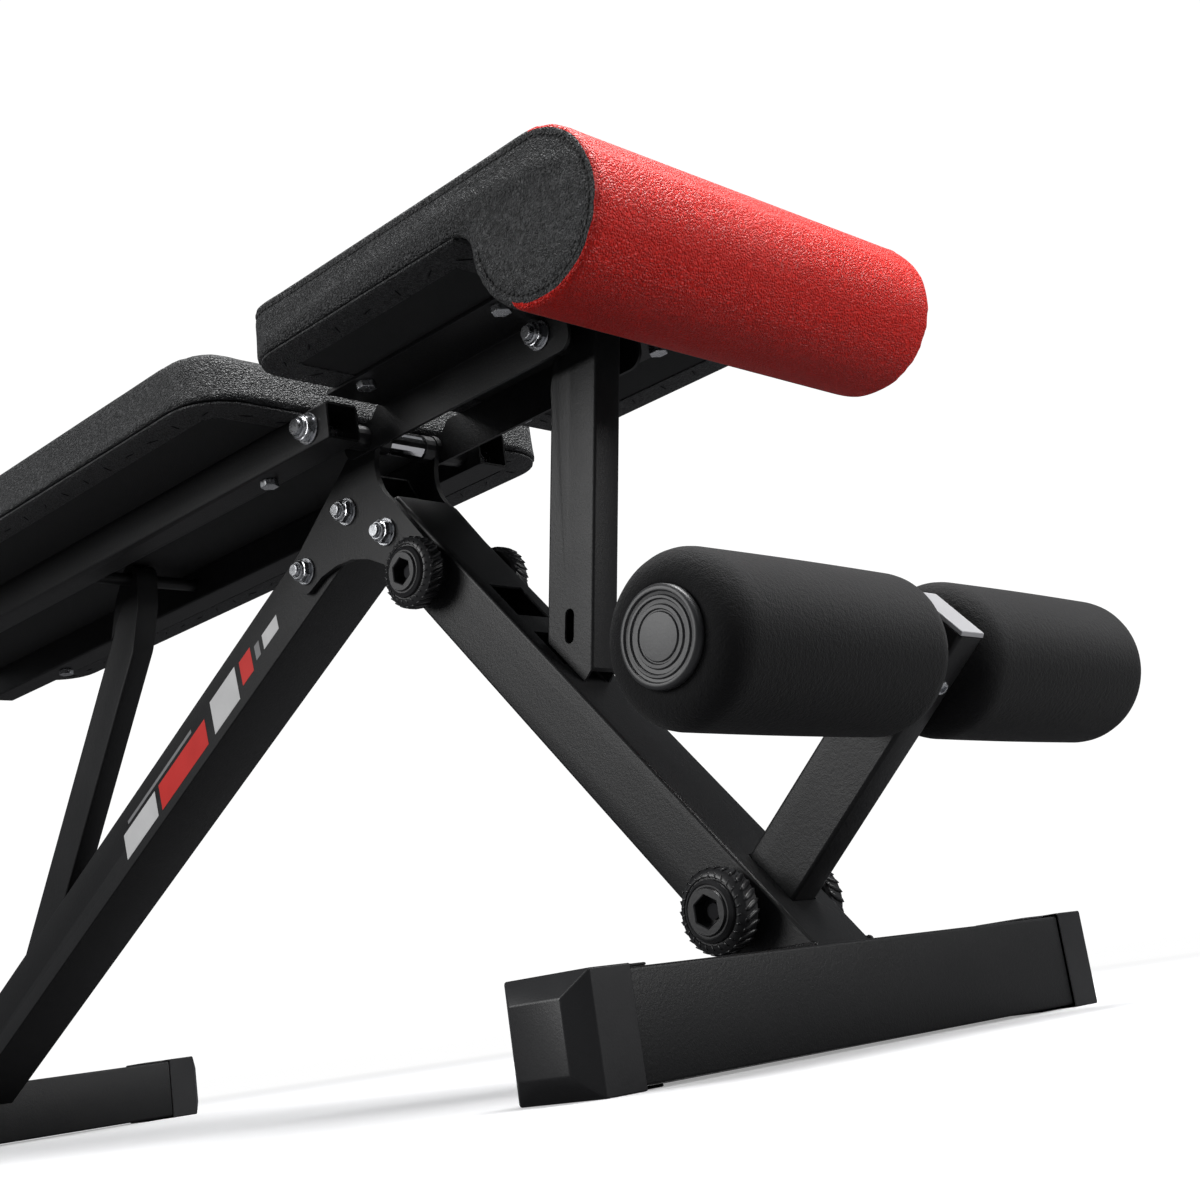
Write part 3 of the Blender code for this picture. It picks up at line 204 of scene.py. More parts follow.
def vinyl_grain_and_glints():
    """Pebbled grain of embossed vinyl: rounded cells with creases between them, and a speckle of painted
    glints and shade over the cells.
    """
    tree, given, made = shader_group(
        "Vinyl grain and glints",
        [("Vector", "NodeSocketVector", None), ("Cell size", "NodeSocketFloat", 0.0014)],
        [("Height", "NodeSocketFloat"), ("Painted glints", "NodeSocketFloat")])
    scale = maths(tree, "DIVIDE", 1.0, given.outputs["Cell size"])
    warp = add(tree, "ShaderNodeTexNoise")
    tree.links.new(given.outputs["Vector"], warp.inputs["Vector"])
    tree.links.new(maths(tree, "MULTIPLY", scale, 0.6), warp.inputs["Scale"])
    shift = add(tree, "ShaderNodeVectorMath", operation="SCALE")
    tree.links.new(warp.outputs["Color"], shift.inputs[0])
    tree.links.new(maths(tree, "MULTIPLY", given.outputs["Cell size"], 1.2), shift.inputs["Scale"])
    moved = add(tree, "ShaderNodeVectorMath", operation="ADD")
    tree.links.new(given.outputs["Vector"], moved.inputs[0])
    tree.links.new(shift.outputs[0], moved.inputs[1])
    cells = add(tree, "ShaderNodeTexVoronoi", feature="DISTANCE_TO_EDGE")
    tree.links.new(moved.outputs[0], cells.inputs["Vector"])
    tree.links.new(scale, cells.inputs["Scale"])
    dome = add(tree, "ShaderNodeMapRange", interpolation_type="SMOOTHSTEP")
    dome.inputs["From Max"].default_value = 0.32
    tree.links.new(cells.outputs["Distance"], dome.inputs["Value"])
    fine = noise_at(tree, given.outputs["Vector"], maths(tree, "MULTIPLY", scale, 2.4), 2.0)
    height = maths(tree, "ADD", dome.outputs[0], maths(tree, "MULTIPLY", fine, 0.5))
    tree.links.new(height, made.inputs["Height"])
    # painted glints and shade: a speckle over the grain cells that stands in for the light on them
    painted_glints = noise_at(tree, given.outputs["Vector"], maths(tree, "MULTIPLY", scale, 0.9), 3.0, 0.7)
    tree.links.new(painted_glints, made.inputs["Painted glints"])
    return tree


def coat_texture():
    """Fine pebble of baked powder coat."""
    tree, given, made = shader_group(
        "Coat texture",
        [("Vector", "NodeSocketVector", None), ("Scale", "NodeSocketFloat", 1400.0)],
        [("Height", "NodeSocketFloat")])
    fine = noise_at(tree, given.outputs["Vector"], given.outputs["Scale"], 2.0)
    coarse = maths(tree, "MULTIPLY", given.outputs["Scale"], 0.3)
    broad = noise_at(tree, given.outputs["Vector"], coarse, 1.0)
    height = maths(tree, "ADD", fine, maths(tree, "MULTIPLY", broad, 0.8))
    tree.links.new(height, made.inputs["Height"])
    return tree


def handling_marks():
    """Slow changes of shade and gloss left by handling and dust."""
    tree, given, made = shader_group(
        "Handling marks",
        [("Vector", "NodeSocketVector", None), ("Scale", "NodeSocketFloat", 14.0),
         ("Colour", "NodeSocketColor", (0.02, 0.02, 0.02, 1)), ("Shade", "NodeSocketFloat", 0.2),
         ("Roughness", "NodeSocketFloat", 0.45), ("Gloss change", "NodeSocketFloat", 0.08)],
        [("Colour", "NodeSocketColor"), ("Roughness", "NodeSocketFloat")])
    cloud = noise_at(tree, given.outputs["Vector"], given.outputs["Scale"], 5.0, 0.6)
    centred = maths(tree, "SUBTRACT", cloud, 0.5)
    gain = maths(tree, "MULTIPLY_ADD", centred, given.outputs["Shade"], 1.0)
    tint = add(tree, "ShaderNodeVectorMath", operation="SCALE")
    tree.links.new(given.outputs["Colour"], tint.inputs[0])
    tree.links.new(gain, tint.inputs["Scale"])
    tree.links.new(tint.outputs[0], made.inputs["Colour"])
    gloss = maths(tree, "MULTIPLY_ADD", centred, given.outputs["Gloss change"], given.outputs["Roughness"])
    tree.links.new(gloss, made.inputs["Roughness"])
    return tree


def named_group(name, maker):
    """Shader group by name, made the first time."""
    return bpy.data.node_groups.get(name) or maker()


def place_group(tree, group, vector, **values):
    """Group node in a material, fed by Object coordinates and its own values."""
    node = add(tree, "ShaderNodeGroup")
    node.node_tree = group
    tree.links.new(vector, node.inputs["Vector"])
    for key, value in values.items():
        node.inputs[key.replace("_", " ")].default_value = value
    return node


# ---------------------------------------------------------------- materials

def bare_material(name, colour, roughness, metallic=0.0, **constants):
    """Principled material with its constants; returns material, tree, shader and coordinates."""
    material = bpy.data.materials.new(f"finished_{name}")
    material.use_nodes = True
    tree = material.node_tree
    shader = tree.nodes["Principled BSDF"]
    shader.inputs["Base Color"].default_value = (*colour, 1)
    shader.inputs["Roughness"].default_value = roughness
    shader.inputs["Metallic"].default_value = metallic
    for key, value in constants.items():
        shader.inputs[key.replace("_", " ")].default_value = value
    coordinates = add(tree, "ShaderNodeTexCoord").outputs["Object"]
    return material, tree, shader, coordinates


def raise_surface(tree, shader, height, depth):
    """Bump node between a height and the shader's normal."""
    bump = add(tree, "ShaderNodeBump")
    bump.inputs["Distance"].default_value = depth
    tree.links.new(height, bump.inputs["Height"])
    tree.links.new(bump.outputs[0], shader.inputs["Normal"])


def weathered(tree, shader, coordinates, colour, roughness, shade, gloss, scale=14.0):
    """Handling marks between a colour, a roughness and the shader; returns the group node."""
    marks = place_group(tree, named_group("Handling marks", handling_marks), coordinates, Scale=scale,
                        Colour=(*colour, 1), Shade=shade, Roughness=roughness, Gloss_change=gloss)
    tree.links.new(marks.outputs["Colour"], shader.inputs["Base Color"])
    tree.links.new(marks.outputs["Roughness"], shader.inputs["Roughness"])
    return marks


def powder_coat():
    """Satin black powder coat."""
    colour = tuple(looks().coat_colour)
    material, tree, shader, coordinates = bare_material("powder_coat", colour, 0.42, Specular_IOR_Level=0.3)
    weathered(tree, shader, coordinates, colour, 0.43, 0.35, 0.12)
    texture = place_group(tree, named_group("Coat texture", coat_texture), coordinates, Scale=1300.0)
    raise_surface(tree, shader, texture.outputs["Height"], 0.00014)
    return material


def black_vinyl():
    """Grained black vinyl, with painted glints and shade speckled over its grain."""
    colour = tuple(looks().vinyl_colour)
    material, tree, shader, coordinates = bare_material("black_vinyl", colour, 0.5, Specular_IOR_Level=0.45)
    grain_and_glints_onto(tree, shader, coordinates, colour)
    return material


def grain_and_glints_onto(tree, shader, coordinates, colour):
    """Grain, a speckle of painted glints and shade, and handling marks of a vinyl cover; returns the node
    with its colour.
    """
    marks = weathered(tree, shader, coordinates, colour, 0.5, 0.3, 0.12, 9.0)
    pebbles_and_glints = named_group("Vinyl grain and glints", vinyl_grain_and_glints)
    grain = place_group(tree, pebbles_and_glints, coordinates, Cell_size=looks().grain_cell)
    # painted glints and shade: the speckle lifts and lowers the vinyl's colour from cell to cell
    mix = add(tree, "ShaderNodeMix", data_type="RGBA", blend_type="MULTIPLY")
    mix.inputs[0].default_value = 1.0
    ramp = add(tree, "ShaderNodeMapRange")
    ramp.inputs["From Min"].default_value = 0.3
    ramp.inputs["From Max"].default_value = 0.7
    ramp.inputs["To Min"].default_value = 1.0 - VINYL_GLINT_SHADE
    ramp.inputs["To Max"].default_value = 1.0 + VINYL_GLINT_SHADE
    tree.links.new(grain.outputs["Painted glints"], ramp.inputs["Value"])
    tree.links.new(marks.outputs["Colour"], mix.inputs[6])
    tree.links.new(ramp.outputs[0], mix.inputs[7])
    tree.links.new(mix.outputs[2], shader.inputs["Base Color"])
    raise_surface(tree, shader, grain.outputs["Height"], 0.0012)
    return mix


def seat_vinyl():
    """Seat cover: a red strip over the top and the roll between two black side panels."""
    black = tuple(looks().vinyl_colour)
    red = tuple(looks().wrap_colour)
    material, tree, shader, coordinates = bare_material("seat_vinyl", black, 0.5, Specular_IOR_Level=0.38)
    dark = grain_and_glints_onto(tree, shader, coordinates, black)
    split = add(tree, "ShaderNodeSeparateXYZ")
    tree.links.new(coordinates, split.inputs[0])
    across = maths(tree, "ABSOLUTE", split.outputs["Y"])
    between = maths(tree, "LESS_THAN", across, SEAT_HIGH.y - STRIP_EDGE)
    above = maths(tree, "GREATER_THAN", split.outputs["Z"], SEAT_HIGH.z - STRIP_DEPTH)
    over = maths(tree, "MULTIPLY", above, maths(tree, "LESS_THAN", across, SEAT_HIGH.y - STRIP_BORDER))
    upper = maths(tree, "GREATER_THAN", split.outputs["Z"], ROLL.z)
    seam = maths(tree, "MULTIPLY_ADD", upper, ROLL_START + ROLL_TOP_START, ROLL.x - ROLL_START)
    ahead = maths(tree, "GREATER_THAN", split.outputs["X"], seam)
    beside = maths(tree, "SUBTRACT", split.outputs["X"], ROLL.x)
    above_axis = maths(tree, "SUBTRACT", split.outputs["Z"], ROLL.z)
    squares = maths(tree, "MULTIPLY_ADD", above_axis, above_axis, maths(tree, "MULTIPLY", beside, beside))
    skin = maths(tree, "GREATER_THAN", squares, (ROLL_RADIUS - STRIP_SKIN) ** 2)
    rolled = maths(tree, "MULTIPLY", maths(tree, "MULTIPLY", ahead, skin), between)
    strip = maths(tree, "MAXIMUM", over, rolled)
    paint = add(tree, "ShaderNodeMix", data_type="RGBA")
    tree.links.new(strip, paint.inputs[0])
    tree.links.new(dark.outputs[2], paint.inputs[6])
    paint.inputs[7].default_value = (*red, 1)
    tree.links.new(paint.outputs[2], shader.inputs["Base Color"])
    return material


def foam():
    """Closed-cell foam with fine open pores."""
    colour = tuple(looks().foam_colour)
    material, tree, shader, coordinates = bare_material(
        "foam", colour, 0.85, Sheen_Weight=0.06, Sheen_Roughness=0.5, Specular_IOR_Level=0.2)
    weathered(tree, shader, coordinates, colour, 0.86, 0.5, 0.1, 20.0)
    texture = place_group(tree, named_group("Coat texture", coat_texture), coordinates, Scale=1200.0)
    raise_surface(tree, shader, texture.outputs["Height"], 0.0005)
    return material


def moulded(name, colour, roughness, scale=900.0, depth=0.00004):
    """Moulded plastic with a faint spark-eroded texture."""
    material, tree, shader, coordinates = bare_material(name, colour, roughness)
    weathered(tree, shader, coordinates, colour, roughness, 0.3, 0.1, 30.0)
    texture = place_group(tree, named_group("Coat texture", coat_texture), coordinates, Scale=scale)
    raise_surface(tree, shader, texture.outputs["Height"], depth)
    return material


def plated(name, colour, roughness, shade):
    """Plated steel with a slightly cloudy gloss."""
    material, tree, shader, coordinates = bare_material(name, colour, roughness, 1.0)
    weathered(tree, shader, coordinates, colour, roughness, shade, 0.2, 160.0)
    texture = place_group(tree, named_group("Coat texture", coat_texture), coordinates, Scale=2200.0)
    raise_surface(tree, shader, texture.outputs["Height"], 0.00002)
    return material


def dust_cover():
    """Thin dark non-woven cloth stapled under the pads."""
    colour = (0.012, 0.0125, 0.013)
    material, tree, shader, coordinates = bare_material("dust_cover", colour, 0.9)
    weathered(tree, shader, coordinates, colour, 0.88, 0.6, 0.1, 60.0)
    dots = add(tree, "ShaderNodeTexVoronoi")
    dots.inputs["Scale"].default_value = 900.0
    tree.links.new(coordinates, dots.inputs["Vector"])
    raise_surface(tree, shader, dots.outputs["Distance"], 0.00015)
    return material


FINISHES = {
    "powder_coat": powder_coat,
    "black_vinyl": black_vinyl,
    "seat_vinyl": seat_vinyl,
    "foam": foam,
    "black_plastic": lambda: moulded("black_plastic", tuple(looks().plastic_colour), 0.36),
    "grey_plastic": lambda: moulded("grey_plastic", (0.021, 0.0215, 0.023), 0.42),
    "light_plastic": lambda: moulded("light_plastic", (0.35, 0.35, 0.36), 0.45),
    "zinc": lambda: plated("zinc", (0.62, 0.63, 0.65), 0.27, 0.3),
    "chrome": lambda: plated("chrome", (0.82, 0.82, 0.84), 0.12, 0.1),
    "thread": lambda: moulded("thread", (0.008, 0.008, 0.008), 0.7, 3000.0, 0.00008),
    # dark steel: the staples' own colour, and painted shade on the studs deep in the knob sockets
    "dark_steel_and_socket_shade": lambda: plated("dark_steel_and_socket_shade", (0.014, 0.014, 0.015), 0.5, 0.4),
    "dust_cover": dust_cover,
    "label_white": lambda: moulded("label_white", (0.62, 0.62, 0.62), 0.38),
    "label_grey": lambda: moulded("label_grey", (0.22, 0.22, 0.225), 0.38),
    "label_red": lambda: moulded("label_red", (0.62, 0.02, 0.015), 0.38),
}


MADE = {}


def finish_named(name):
    """Material by name, made the first time it is asked for."""
    if name not in MADE:
        MADE[name] = FINISHES[name]()
    return MADE[name]


# ---------------------------------------------------------------- making pieces

def cover_with(mesh, finish):
    """Give a mesh one finish in place of what it had."""
    mesh.materials.clear()
    mesh.materials.append(finish_named(finish))


def new_piece(name, mesh, finish, smooth=35):
    """Object of the finished piece, at the origin, with its material."""
    obj = bpy.data.objects.new(name, mesh)
    bpy.context.scene.collection.objects.link(obj)
    if finish:
        cover_with(mesh, finish)
    mesh.shade_smooth()
    if smooth:
        mesh.set_sharp_from_angle(angle=radians(smooth))
    return obj


def settle(obj, body, slot, *nodes):
    """Hang a piece on its body and let it stand for frame nodes, which it hides; slot is not used."""
    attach(obj, body)
    if nodes:
        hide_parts(*nodes)
    return obj


def node_shape(node):
    """Welded copy of a frame node's shape, its flat faces made whole."""
    shape = bmesh.new()
    shape.from_mesh(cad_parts[node].data)
    bmesh.ops.remove_doubles(shape, verts=shape.verts, dist=1e-6)
    bmesh.ops.dissolve_limit(shape, angle_limit=radians(0.5), verts=shape.verts, edges=shape.edges)
    return shape


def shape_to_mesh(name, shape):
    """Mesh from a bmesh, which is then freed."""
    mesh = bpy.data.meshes.new(name)
    shape.to_mesh(mesh)
    shape.free()
    return mesh


def rounded_part(node, body, slot, corner=0.0, edge=None, finish=None, least=0.06):
    """Frame part with its long outer corners and cut edges rounded."""
    shape = node_shape(node)
    if corner:
        long_edges = [e for e in shape.edges if e.is_manifold and e.is_convex
                      and e.calc_length() > least and e.calc_face_angle() > radians(60)]
        bmesh.ops.bevel(shape, geom=long_edges, offset=corner, segments=3, profile=0.5, affect="EDGES",
                        clamp_overlap=True)
    obj = new_piece(f"{node}_finished", shape_to_mesh(node, shape), finish or slot)
    bevel = obj.modifiers.new("Edges", "BEVEL")
    bevel.width = edge or looks().edge_round
    bevel.segments = 2
    bevel.limit_method = "ANGLE"
    bevel.angle_limit = radians(32)
    bevel.harden_normals = True
    return settle(obj, body, slot, node)


def spun_mesh(name, centre, side, loops, facets=48, closed=False):
    """Solid of revolution about Y. A loop is (radius, distance along Y).

    A radius may be a function of the angle, as a hexagon's is. An open solid starts
    and ends with a loop on the axis.
    """
    shape = bmesh.new()
    rings = []
    for radius, along in loops:
        y = centre.y + side * along
        if radius == 0:
            rings.append([shape.verts.new((centre.x, y, centre.z))])
            continue
        row = []
        for i in range(facets):
            a = 2 * pi * i / facets
            r = radius(a) if callable(radius) else radius
            row.append(shape.verts.new((centre.x + r * cos(a), y, centre.z + r * sin(a))))
        rings.append(row)
    pairs = list(zip(rings, rings[1:]))
    if closed:
        pairs.append((rings[-1], rings[0]))
    for first, second in pairs:
        for i in range(facets):
            j = (i + 1) % facets
            corners = [first[i % len(first)], first[j % len(first)],
                       second[j % len(second)], second[i % len(second)]]
            unique = list(dict.fromkeys(corners))
            if len(unique) > 2:
                shape.faces.new(unique)
    bmesh.ops.recalc_face_normals(shape, faces=shape.faces)
    return shape_to_mesh(name, shape)


def hexagon(half, limit=1.0):
    """Radius of a hexagon at an angle, cut off at a circle."""
    def radius(angle):
        turn = (angle + pi / 6) % (pi / 3) - pi / 6
        return min(half / cos(turn), limit)
    return radius


def rounded_outline(low, high, corner, inset, count=8):
    """Plan outline of a pad in (x, y), inset from its box."""
    x0, x1 = low.x + inset, high.x - inset
    half = high.y - inset
    rear, front = (max(r - inset, 0.001) for r in corner)
    points = []
    for x, y, r, start in ((x1, half, front, 0), (x0, half, rear, pi / 2),
                           (x0, -half, rear, pi), (x1, -half, front, 1.5 * pi)):
        cx = x - r if x == x1 else x + r
        cy = y - r if y > 0 else y + r
        for i in range(count + 1):
            a = start + pi / 2 * i / count
            points.append((cx + r * cos(a), cy + r * sin(a)))
    return points


def strip_ring(name, loops):
    """Closed ring through loops of equal count, its last loop joined to its first."""
    shape = bmesh.new()
    rows = [[shape.verts.new(p) for p in loop] for loop in loops]
    for first, second in zip(rows, rows[1:] + rows[:1]):
        for i in range(len(first)):
            j = (i + 1) % len(first)
            shape.faces.new([first[i], first[j], second[j], second[i]])
    bmesh.ops.recalc_face_normals(shape, faces=shape.faces)
    return shape_to_mesh(name, shape)


# ---------------------------------------------------------------- repeats along a path

def repeat_tree():
    """Geometry tree that sets rounded grains along a path, each square to its surface."""
    tree = bpy.data.node_groups.get("Grains along a path")
    if tree:
        return tree
    tree = bpy.data.node_groups.new("Grains along a path", "GeometryNodeTree")
    wanted = [("Path", "NodeSocketGeometry", None), ("Pitch", "NodeSocketFloat", 0.004),
              ("Size", "NodeSocketVector", (0.003, 0.001, 0.001)), ("Turn", "NodeSocketFloat", 0.0),
              ("Scatter", "NodeSocketFloat", 0.0), ("Seed", "NodeSocketInt", 7),
              ("Finish", "NodeSocketMaterial", None)]
    for label, kind, default in wanted:
        socket = tree.interface.new_socket(label, in_out="INPUT", socket_type=kind)
        if default is not None:
            socket.default_value = default
    tree.interface.new_socket("Grains", in_out="OUTPUT", socket_type="NodeSocketGeometry")
    link = tree.links.new
    given, made = add(tree, "NodeGroupInput"), add(tree, "NodeGroupOutput")
    curve = add(tree, "GeometryNodeMeshToCurve")
    link(given.outputs["Path"], curve.inputs[0])
    points = add(tree, "GeometryNodeCurveToPoints", mode="LENGTH")
    link(curve.outputs[0], points.inputs["Curve"])
    link(given.outputs["Pitch"], points.inputs["Length"])
    along = add(tree, "FunctionNodeAlignRotationToVector", axis="X")
    link(points.outputs["Tangent"], along.inputs["Vector"])
    facing = add(tree, "GeometryNodeInputNamedAttribute", data_type="FLOAT_VECTOR")
    facing.inputs["Name"].default_value = "facing"
    upright = add(tree, "FunctionNodeAlignRotationToVector", axis="Z", pivot_axis="X")
    link(along.outputs[0], upright.inputs["Rotation"])
    link(facing.outputs["Attribute"], upright.inputs["Vector"])
    chance = add(tree, "FunctionNodeRandomValue", data_type="FLOAT")
    link(given.outputs["Seed"], chance.inputs["Seed"])
    chance.inputs[2].default_value = -1.0
    chance.inputs[3].default_value = 1.0
    swing = add(tree, "ShaderNodeMath", operation="MULTIPLY_ADD")
    link(chance.outputs[1], swing.inputs[0])
    link(given.outputs["Scatter"], swing.inputs[1])
    link(given.outputs["Turn"], swing.inputs[2])
    spin = add(tree, "FunctionNodeAxisAngleToRotation")
    link(swing.outputs[0], spin.inputs["Angle"])
    turned = add(tree, "FunctionNodeRotateRotation", rotation_space="LOCAL")
    link(upright.outputs[0], turned.inputs[0])
    link(spin.outputs[0], turned.inputs[1])
    grain = add(tree, "GeometryNodeMeshUVSphere")
    grain.inputs["Segments"].default_value = 8
    grain.inputs["Rings"].default_value = 5
    grain.inputs["Radius"].default_value = 0.5
    smooth = add(tree, "GeometryNodeSetShadeSmooth")
    link(grain.outputs["Mesh"], smooth.inputs[0])
    copies = add(tree, "GeometryNodeInstanceOnPoints")
    link(points.outputs["Points"], copies.inputs["Points"])
    link(smooth.outputs[0], copies.inputs["Instance"])
    link(turned.outputs[0], copies.inputs["Rotation"])
    link(given.outputs["Size"], copies.inputs["Scale"])
    real = add(tree, "GeometryNodeRealizeInstances")
    link(copies.outputs[0], real.inputs[0])
    dressed = add(tree, "GeometryNodeSetMaterial")
    link(real.outputs[0], dressed.inputs["Geometry"])
    link(given.outputs["Finish"], dressed.inputs["Material"])
    link(dressed.outputs[0], made.inputs[0])
    return tree


def grains(name, paths, pitch, size, finish, turn=0.0, scatter=0.0, seed=7):
    """Plain mesh of grains along paths. A path is (points, facings, closed)."""
    verts, edges, facings = [], [], []
    for points, sides, closed in paths:
        base = len(verts)
        verts += [tuple(p) for p in points]
        facings += [tuple(f) for f in sides]
        edges += [(base + i, base + i + 1) for i in range(len(points) - 1)]
        if closed:
            edges.append((base + len(points) - 1, base))
    mesh = bpy.data.meshes.new(name)
    mesh.from_pydata(verts, edges, [])
    attribute = mesh.attributes.new("facing", "FLOAT_VECTOR", "POINT")
    attribute.data.foreach_set("vector", np.array(facings, np.float32).ravel())
    obj = bpy.data.objects.new(name, mesh)
    bpy.context.scene.collection.objects.link(obj)
    tree = repeat_tree()
    modifier = obj.modifiers.new("Grains", "NODES")
    modifier.node_group = tree
    values = {"Pitch": pitch, "Size": size, "Turn": turn, "Scatter": scatter, "Seed": seed,
              "Finish": finish_named(finish)}
    for item in tree.interface.items_tree:
        if item.in_out == "INPUT" and item.name in values:
            modifier[item.identifier] = values[item.name]
    bpy.context.view_layer.update()
    evaluated = obj.evaluated_get(bpy.context.evaluated_depsgraph_get())
    made = bpy.data.meshes.new_from_object(evaluated)
    obj.modifiers.remove(modifier)
    obj.data = made
    made.name = name
    bpy.data.meshes.remove(mesh)
    if not len(made.polygons):
        raise RuntimeError(f"{name} has no grains on its path")
    return obj


def circle_path(centre, radius, y, outward=1):
    """Circle round Y, facing away from its axis, or along Y where outward is 0."""
    points, sides = [], []
    for i in range(64):
        a = 2 * pi * i / 64
        points.append((centre.x + radius * cos(a), y, centre.z + radius * sin(a)))
        sides.append((cos(a), 0, sin(a)) if outward else (0, 1, 0))
    return points, sides, True


# ---------------------------------------------------------------- padded covers

def filled_cover(obj, hold_below, frames=20):
    """Swell a cover by cloth pressure with its underside held, and cap how far it moves."""
    mesh = obj.data
    count = len(mesh.vertices)
    before = np.zeros(count * 3, np.float32)
    mesh.vertices.foreach_get("co", before)
    before = before.reshape(-1, 3)
    held = obj.vertex_groups.new(name="held")
    held.add([int(i) for i in np.nonzero(before[:, 2] < hold_below)[0]], 1.0, "ADD")
    cloth = obj.modifiers.new("Filling", "CLOTH")
    cloth.settings.use_pressure = True
    cloth.settings.uniform_pressure_force = 4.0
    cloth.settings.effector_weights.gravity = 0.0
    cloth.settings.vertex_group_mass = held.name
    cloth.settings.tension_stiffness = 30
    cloth.settings.compression_stiffness = 30
    cloth.settings.bending_stiffness = 2
    cloth.collision_settings.use_collision = False
    cloth.point_cache.frame_start = 1
    cloth.point_cache.frame_end = frames
    scene = bpy.context.scene
    for number in range(1, frames + 1):
        scene.frame_set(number)
    evaluated = obj.evaluated_get(bpy.context.evaluated_depsgraph_get())
    after = np.zeros(count * 3, np.float32)
    evaluated.data.vertices.foreach_get("co", after)
    obj.modifiers.remove(cloth)
    obj.vertex_groups.clear()
    scene.frame_set(1)
    move = after.reshape(-1, 3) - before
    length = np.linalg.norm(move, axis=1, keepdims=True)
    cap = looks().pad_swell
    soft = cap * np.tanh(length / cap) / np.maximum(length, 1e-9)
    mesh.vertices.foreach_set("co", (before + move * soft).astype(np.float32).ravel())
    mesh.update()


def apply_modifiers(obj):
    """Swap a piece's mesh for its evaluated one."""
    bpy.context.view_layer.update()
    made = bpy.data.meshes.new_from_object(obj.evaluated_get(bpy.context.evaluated_depsgraph_get()))
    obj.modifiers.clear()
    obj.data = made


def cover_from(node, name, voxel, smoothing):
    """Even mesh over a pad's solid, its hard edges eased."""
    obj = bpy.data.objects.new(name, shape_to_mesh(name, node_shape(node)))
    bpy.context.scene.collection.objects.link(obj)
    remesh = obj.modifiers.new("Even", "REMESH")
    remesh.mode = "VOXEL"
    remesh.voxel_size = voxel
    remesh.adaptivity = 0.0
    ease = obj.modifiers.new("Ease", "SMOOTH")
    ease.factor = 0.5
    ease.iterations = smoothing
    apply_modifiers(obj)
    obj.data.name = name
    return obj


def subdivide(obj):
    """Apply one level of subdivision."""
    modifier = obj.modifiers.new("Finer", "SUBSURF")
    modifier.levels = 1
    modifier.render_levels = 1
    apply_modifiers(obj)


def pulled_seam(obj, points, depth, width):
    """Press a narrow groove into a cover along a seam."""
    mesh = obj.data
    count = len(mesh.vertices)
    co = np.zeros(count * 3)
    mesh.vertices.foreach_get("co", co)
    co = co.reshape(-1, 3)
    normals = np.zeros(count * 3)
    mesh.vertices.foreach_get("normal", normals)
    normals = normals.reshape(-1, 3)
    line = np.array([tuple(p) for p in points])
    nearest = np.full(count, 1.0)
    for start in range(0, len(line), 40):
        gap = np.linalg.norm(co[:, None, :] - line[None, start:start + 40, :], axis=2)
        nearest = np.minimum(nearest, gap.min(axis=1))
    drop = depth * np.exp(-(nearest / width) ** 2)
    mesh.vertices.foreach_set("co", (co - normals * drop[:, None]).ravel())
    mesh.update()


def evenly(points, pitch, closed=False):
    """Points spaced evenly along a polyline."""
    line = [Vector(p) for p in points]
    if closed:
        line.append(line[0])
    made = []
    for start, end in zip(line, line[1:]):
        steps = max(1, ceil((end - start).length / pitch))
        made += [start.lerp(end, i / steps) for i in range(steps)]
    if not closed:
        made.append(line[-1])
    return made


def onto_surface(obj, points, lift=0.0):
    """Nearest places on a piece's surface with their normals."""
    tree = BVHTree.FromObject(obj, bpy.context.evaluated_depsgraph_get())
    places, normals = [], []
    for point in points:
        place, normal, _, _ = tree.find_nearest(point)
        places.append(place + normal * lift)
        normals.append(normal)
    return places, normals


def seat_seam(side):
    """Path of the border seam on one side panel, and of its run round the rear corner."""
    inset = looks().border
    y = side * SEAT_HIGH.y
    top = SEAT_HIGH.z - inset
    corner = 0.035
    points = []
    for i in range(7):
        a = pi / 2 * i / 6
        x = SEAT_LOW.x + corner * (1 - sin(a))
        points.append(Vector((x, side * (SEAT_HIGH.y - corner * (1 - cos(a))), top)))
    points = [Vector((SEAT_LOW.x, side * 0.1, top))] + points[::-1]
    r = ROLL_RADIUS - inset
    for i in range(49):
        a = pi / 2 - (pi * 1.47) * i / 48
        points.append(Vector((ROLL.x + r * cos(a), y, ROLL.z + r * sin(a))))
    return points


class ROMAN_OT_seat(bpy.types.Operator):
    """Seat cover with its front roll, its stitched borders and its underside"""

    bl_idname = "roman.seat"
    bl_label = "Seat pad"

    def execute(self, context):
        seat = cover_from("seat_pad", "seat_cover", voxel=0.0042, smoothing=6)
        filled_cover(seat, SEAT_UNDER + HELD_RIM)
        subdivide(seat)
        cover_with(seat.data, "seat_vinyl")
        seat.data.shade_smooth()
        paths = []
        for _, side in SIDES:
            places, _ = onto_surface(seat, evenly(seat_seam(side), SEAM_STEP))
            pulled_seam(seat, places, depth=0.0016, width=0.0018)
        for _, side in SIDES:
            places, normals = onto_surface(seat, evenly(seat_seam(side), SEAM_STEP), lift=0.0002)
            paths.append((places, normals, False))
        settle(seat, "seat", "black_vinyl", "seat_pad")
        stitches = grains("seat_stitches", paths, looks().stitch_pitch, (0.0038, 0.0015, 0.0011), "thread")
        settle(stitches, "seat", "black_vinyl")
        board_front = Vector((PIVOT.x + 0.272, SEAT_HIGH.y, 0))
        underside("seat", SEAT_LOW, board_front, (0.035, 0.004), SEAT_UNDER, 11)
        return {"FINISHED"}


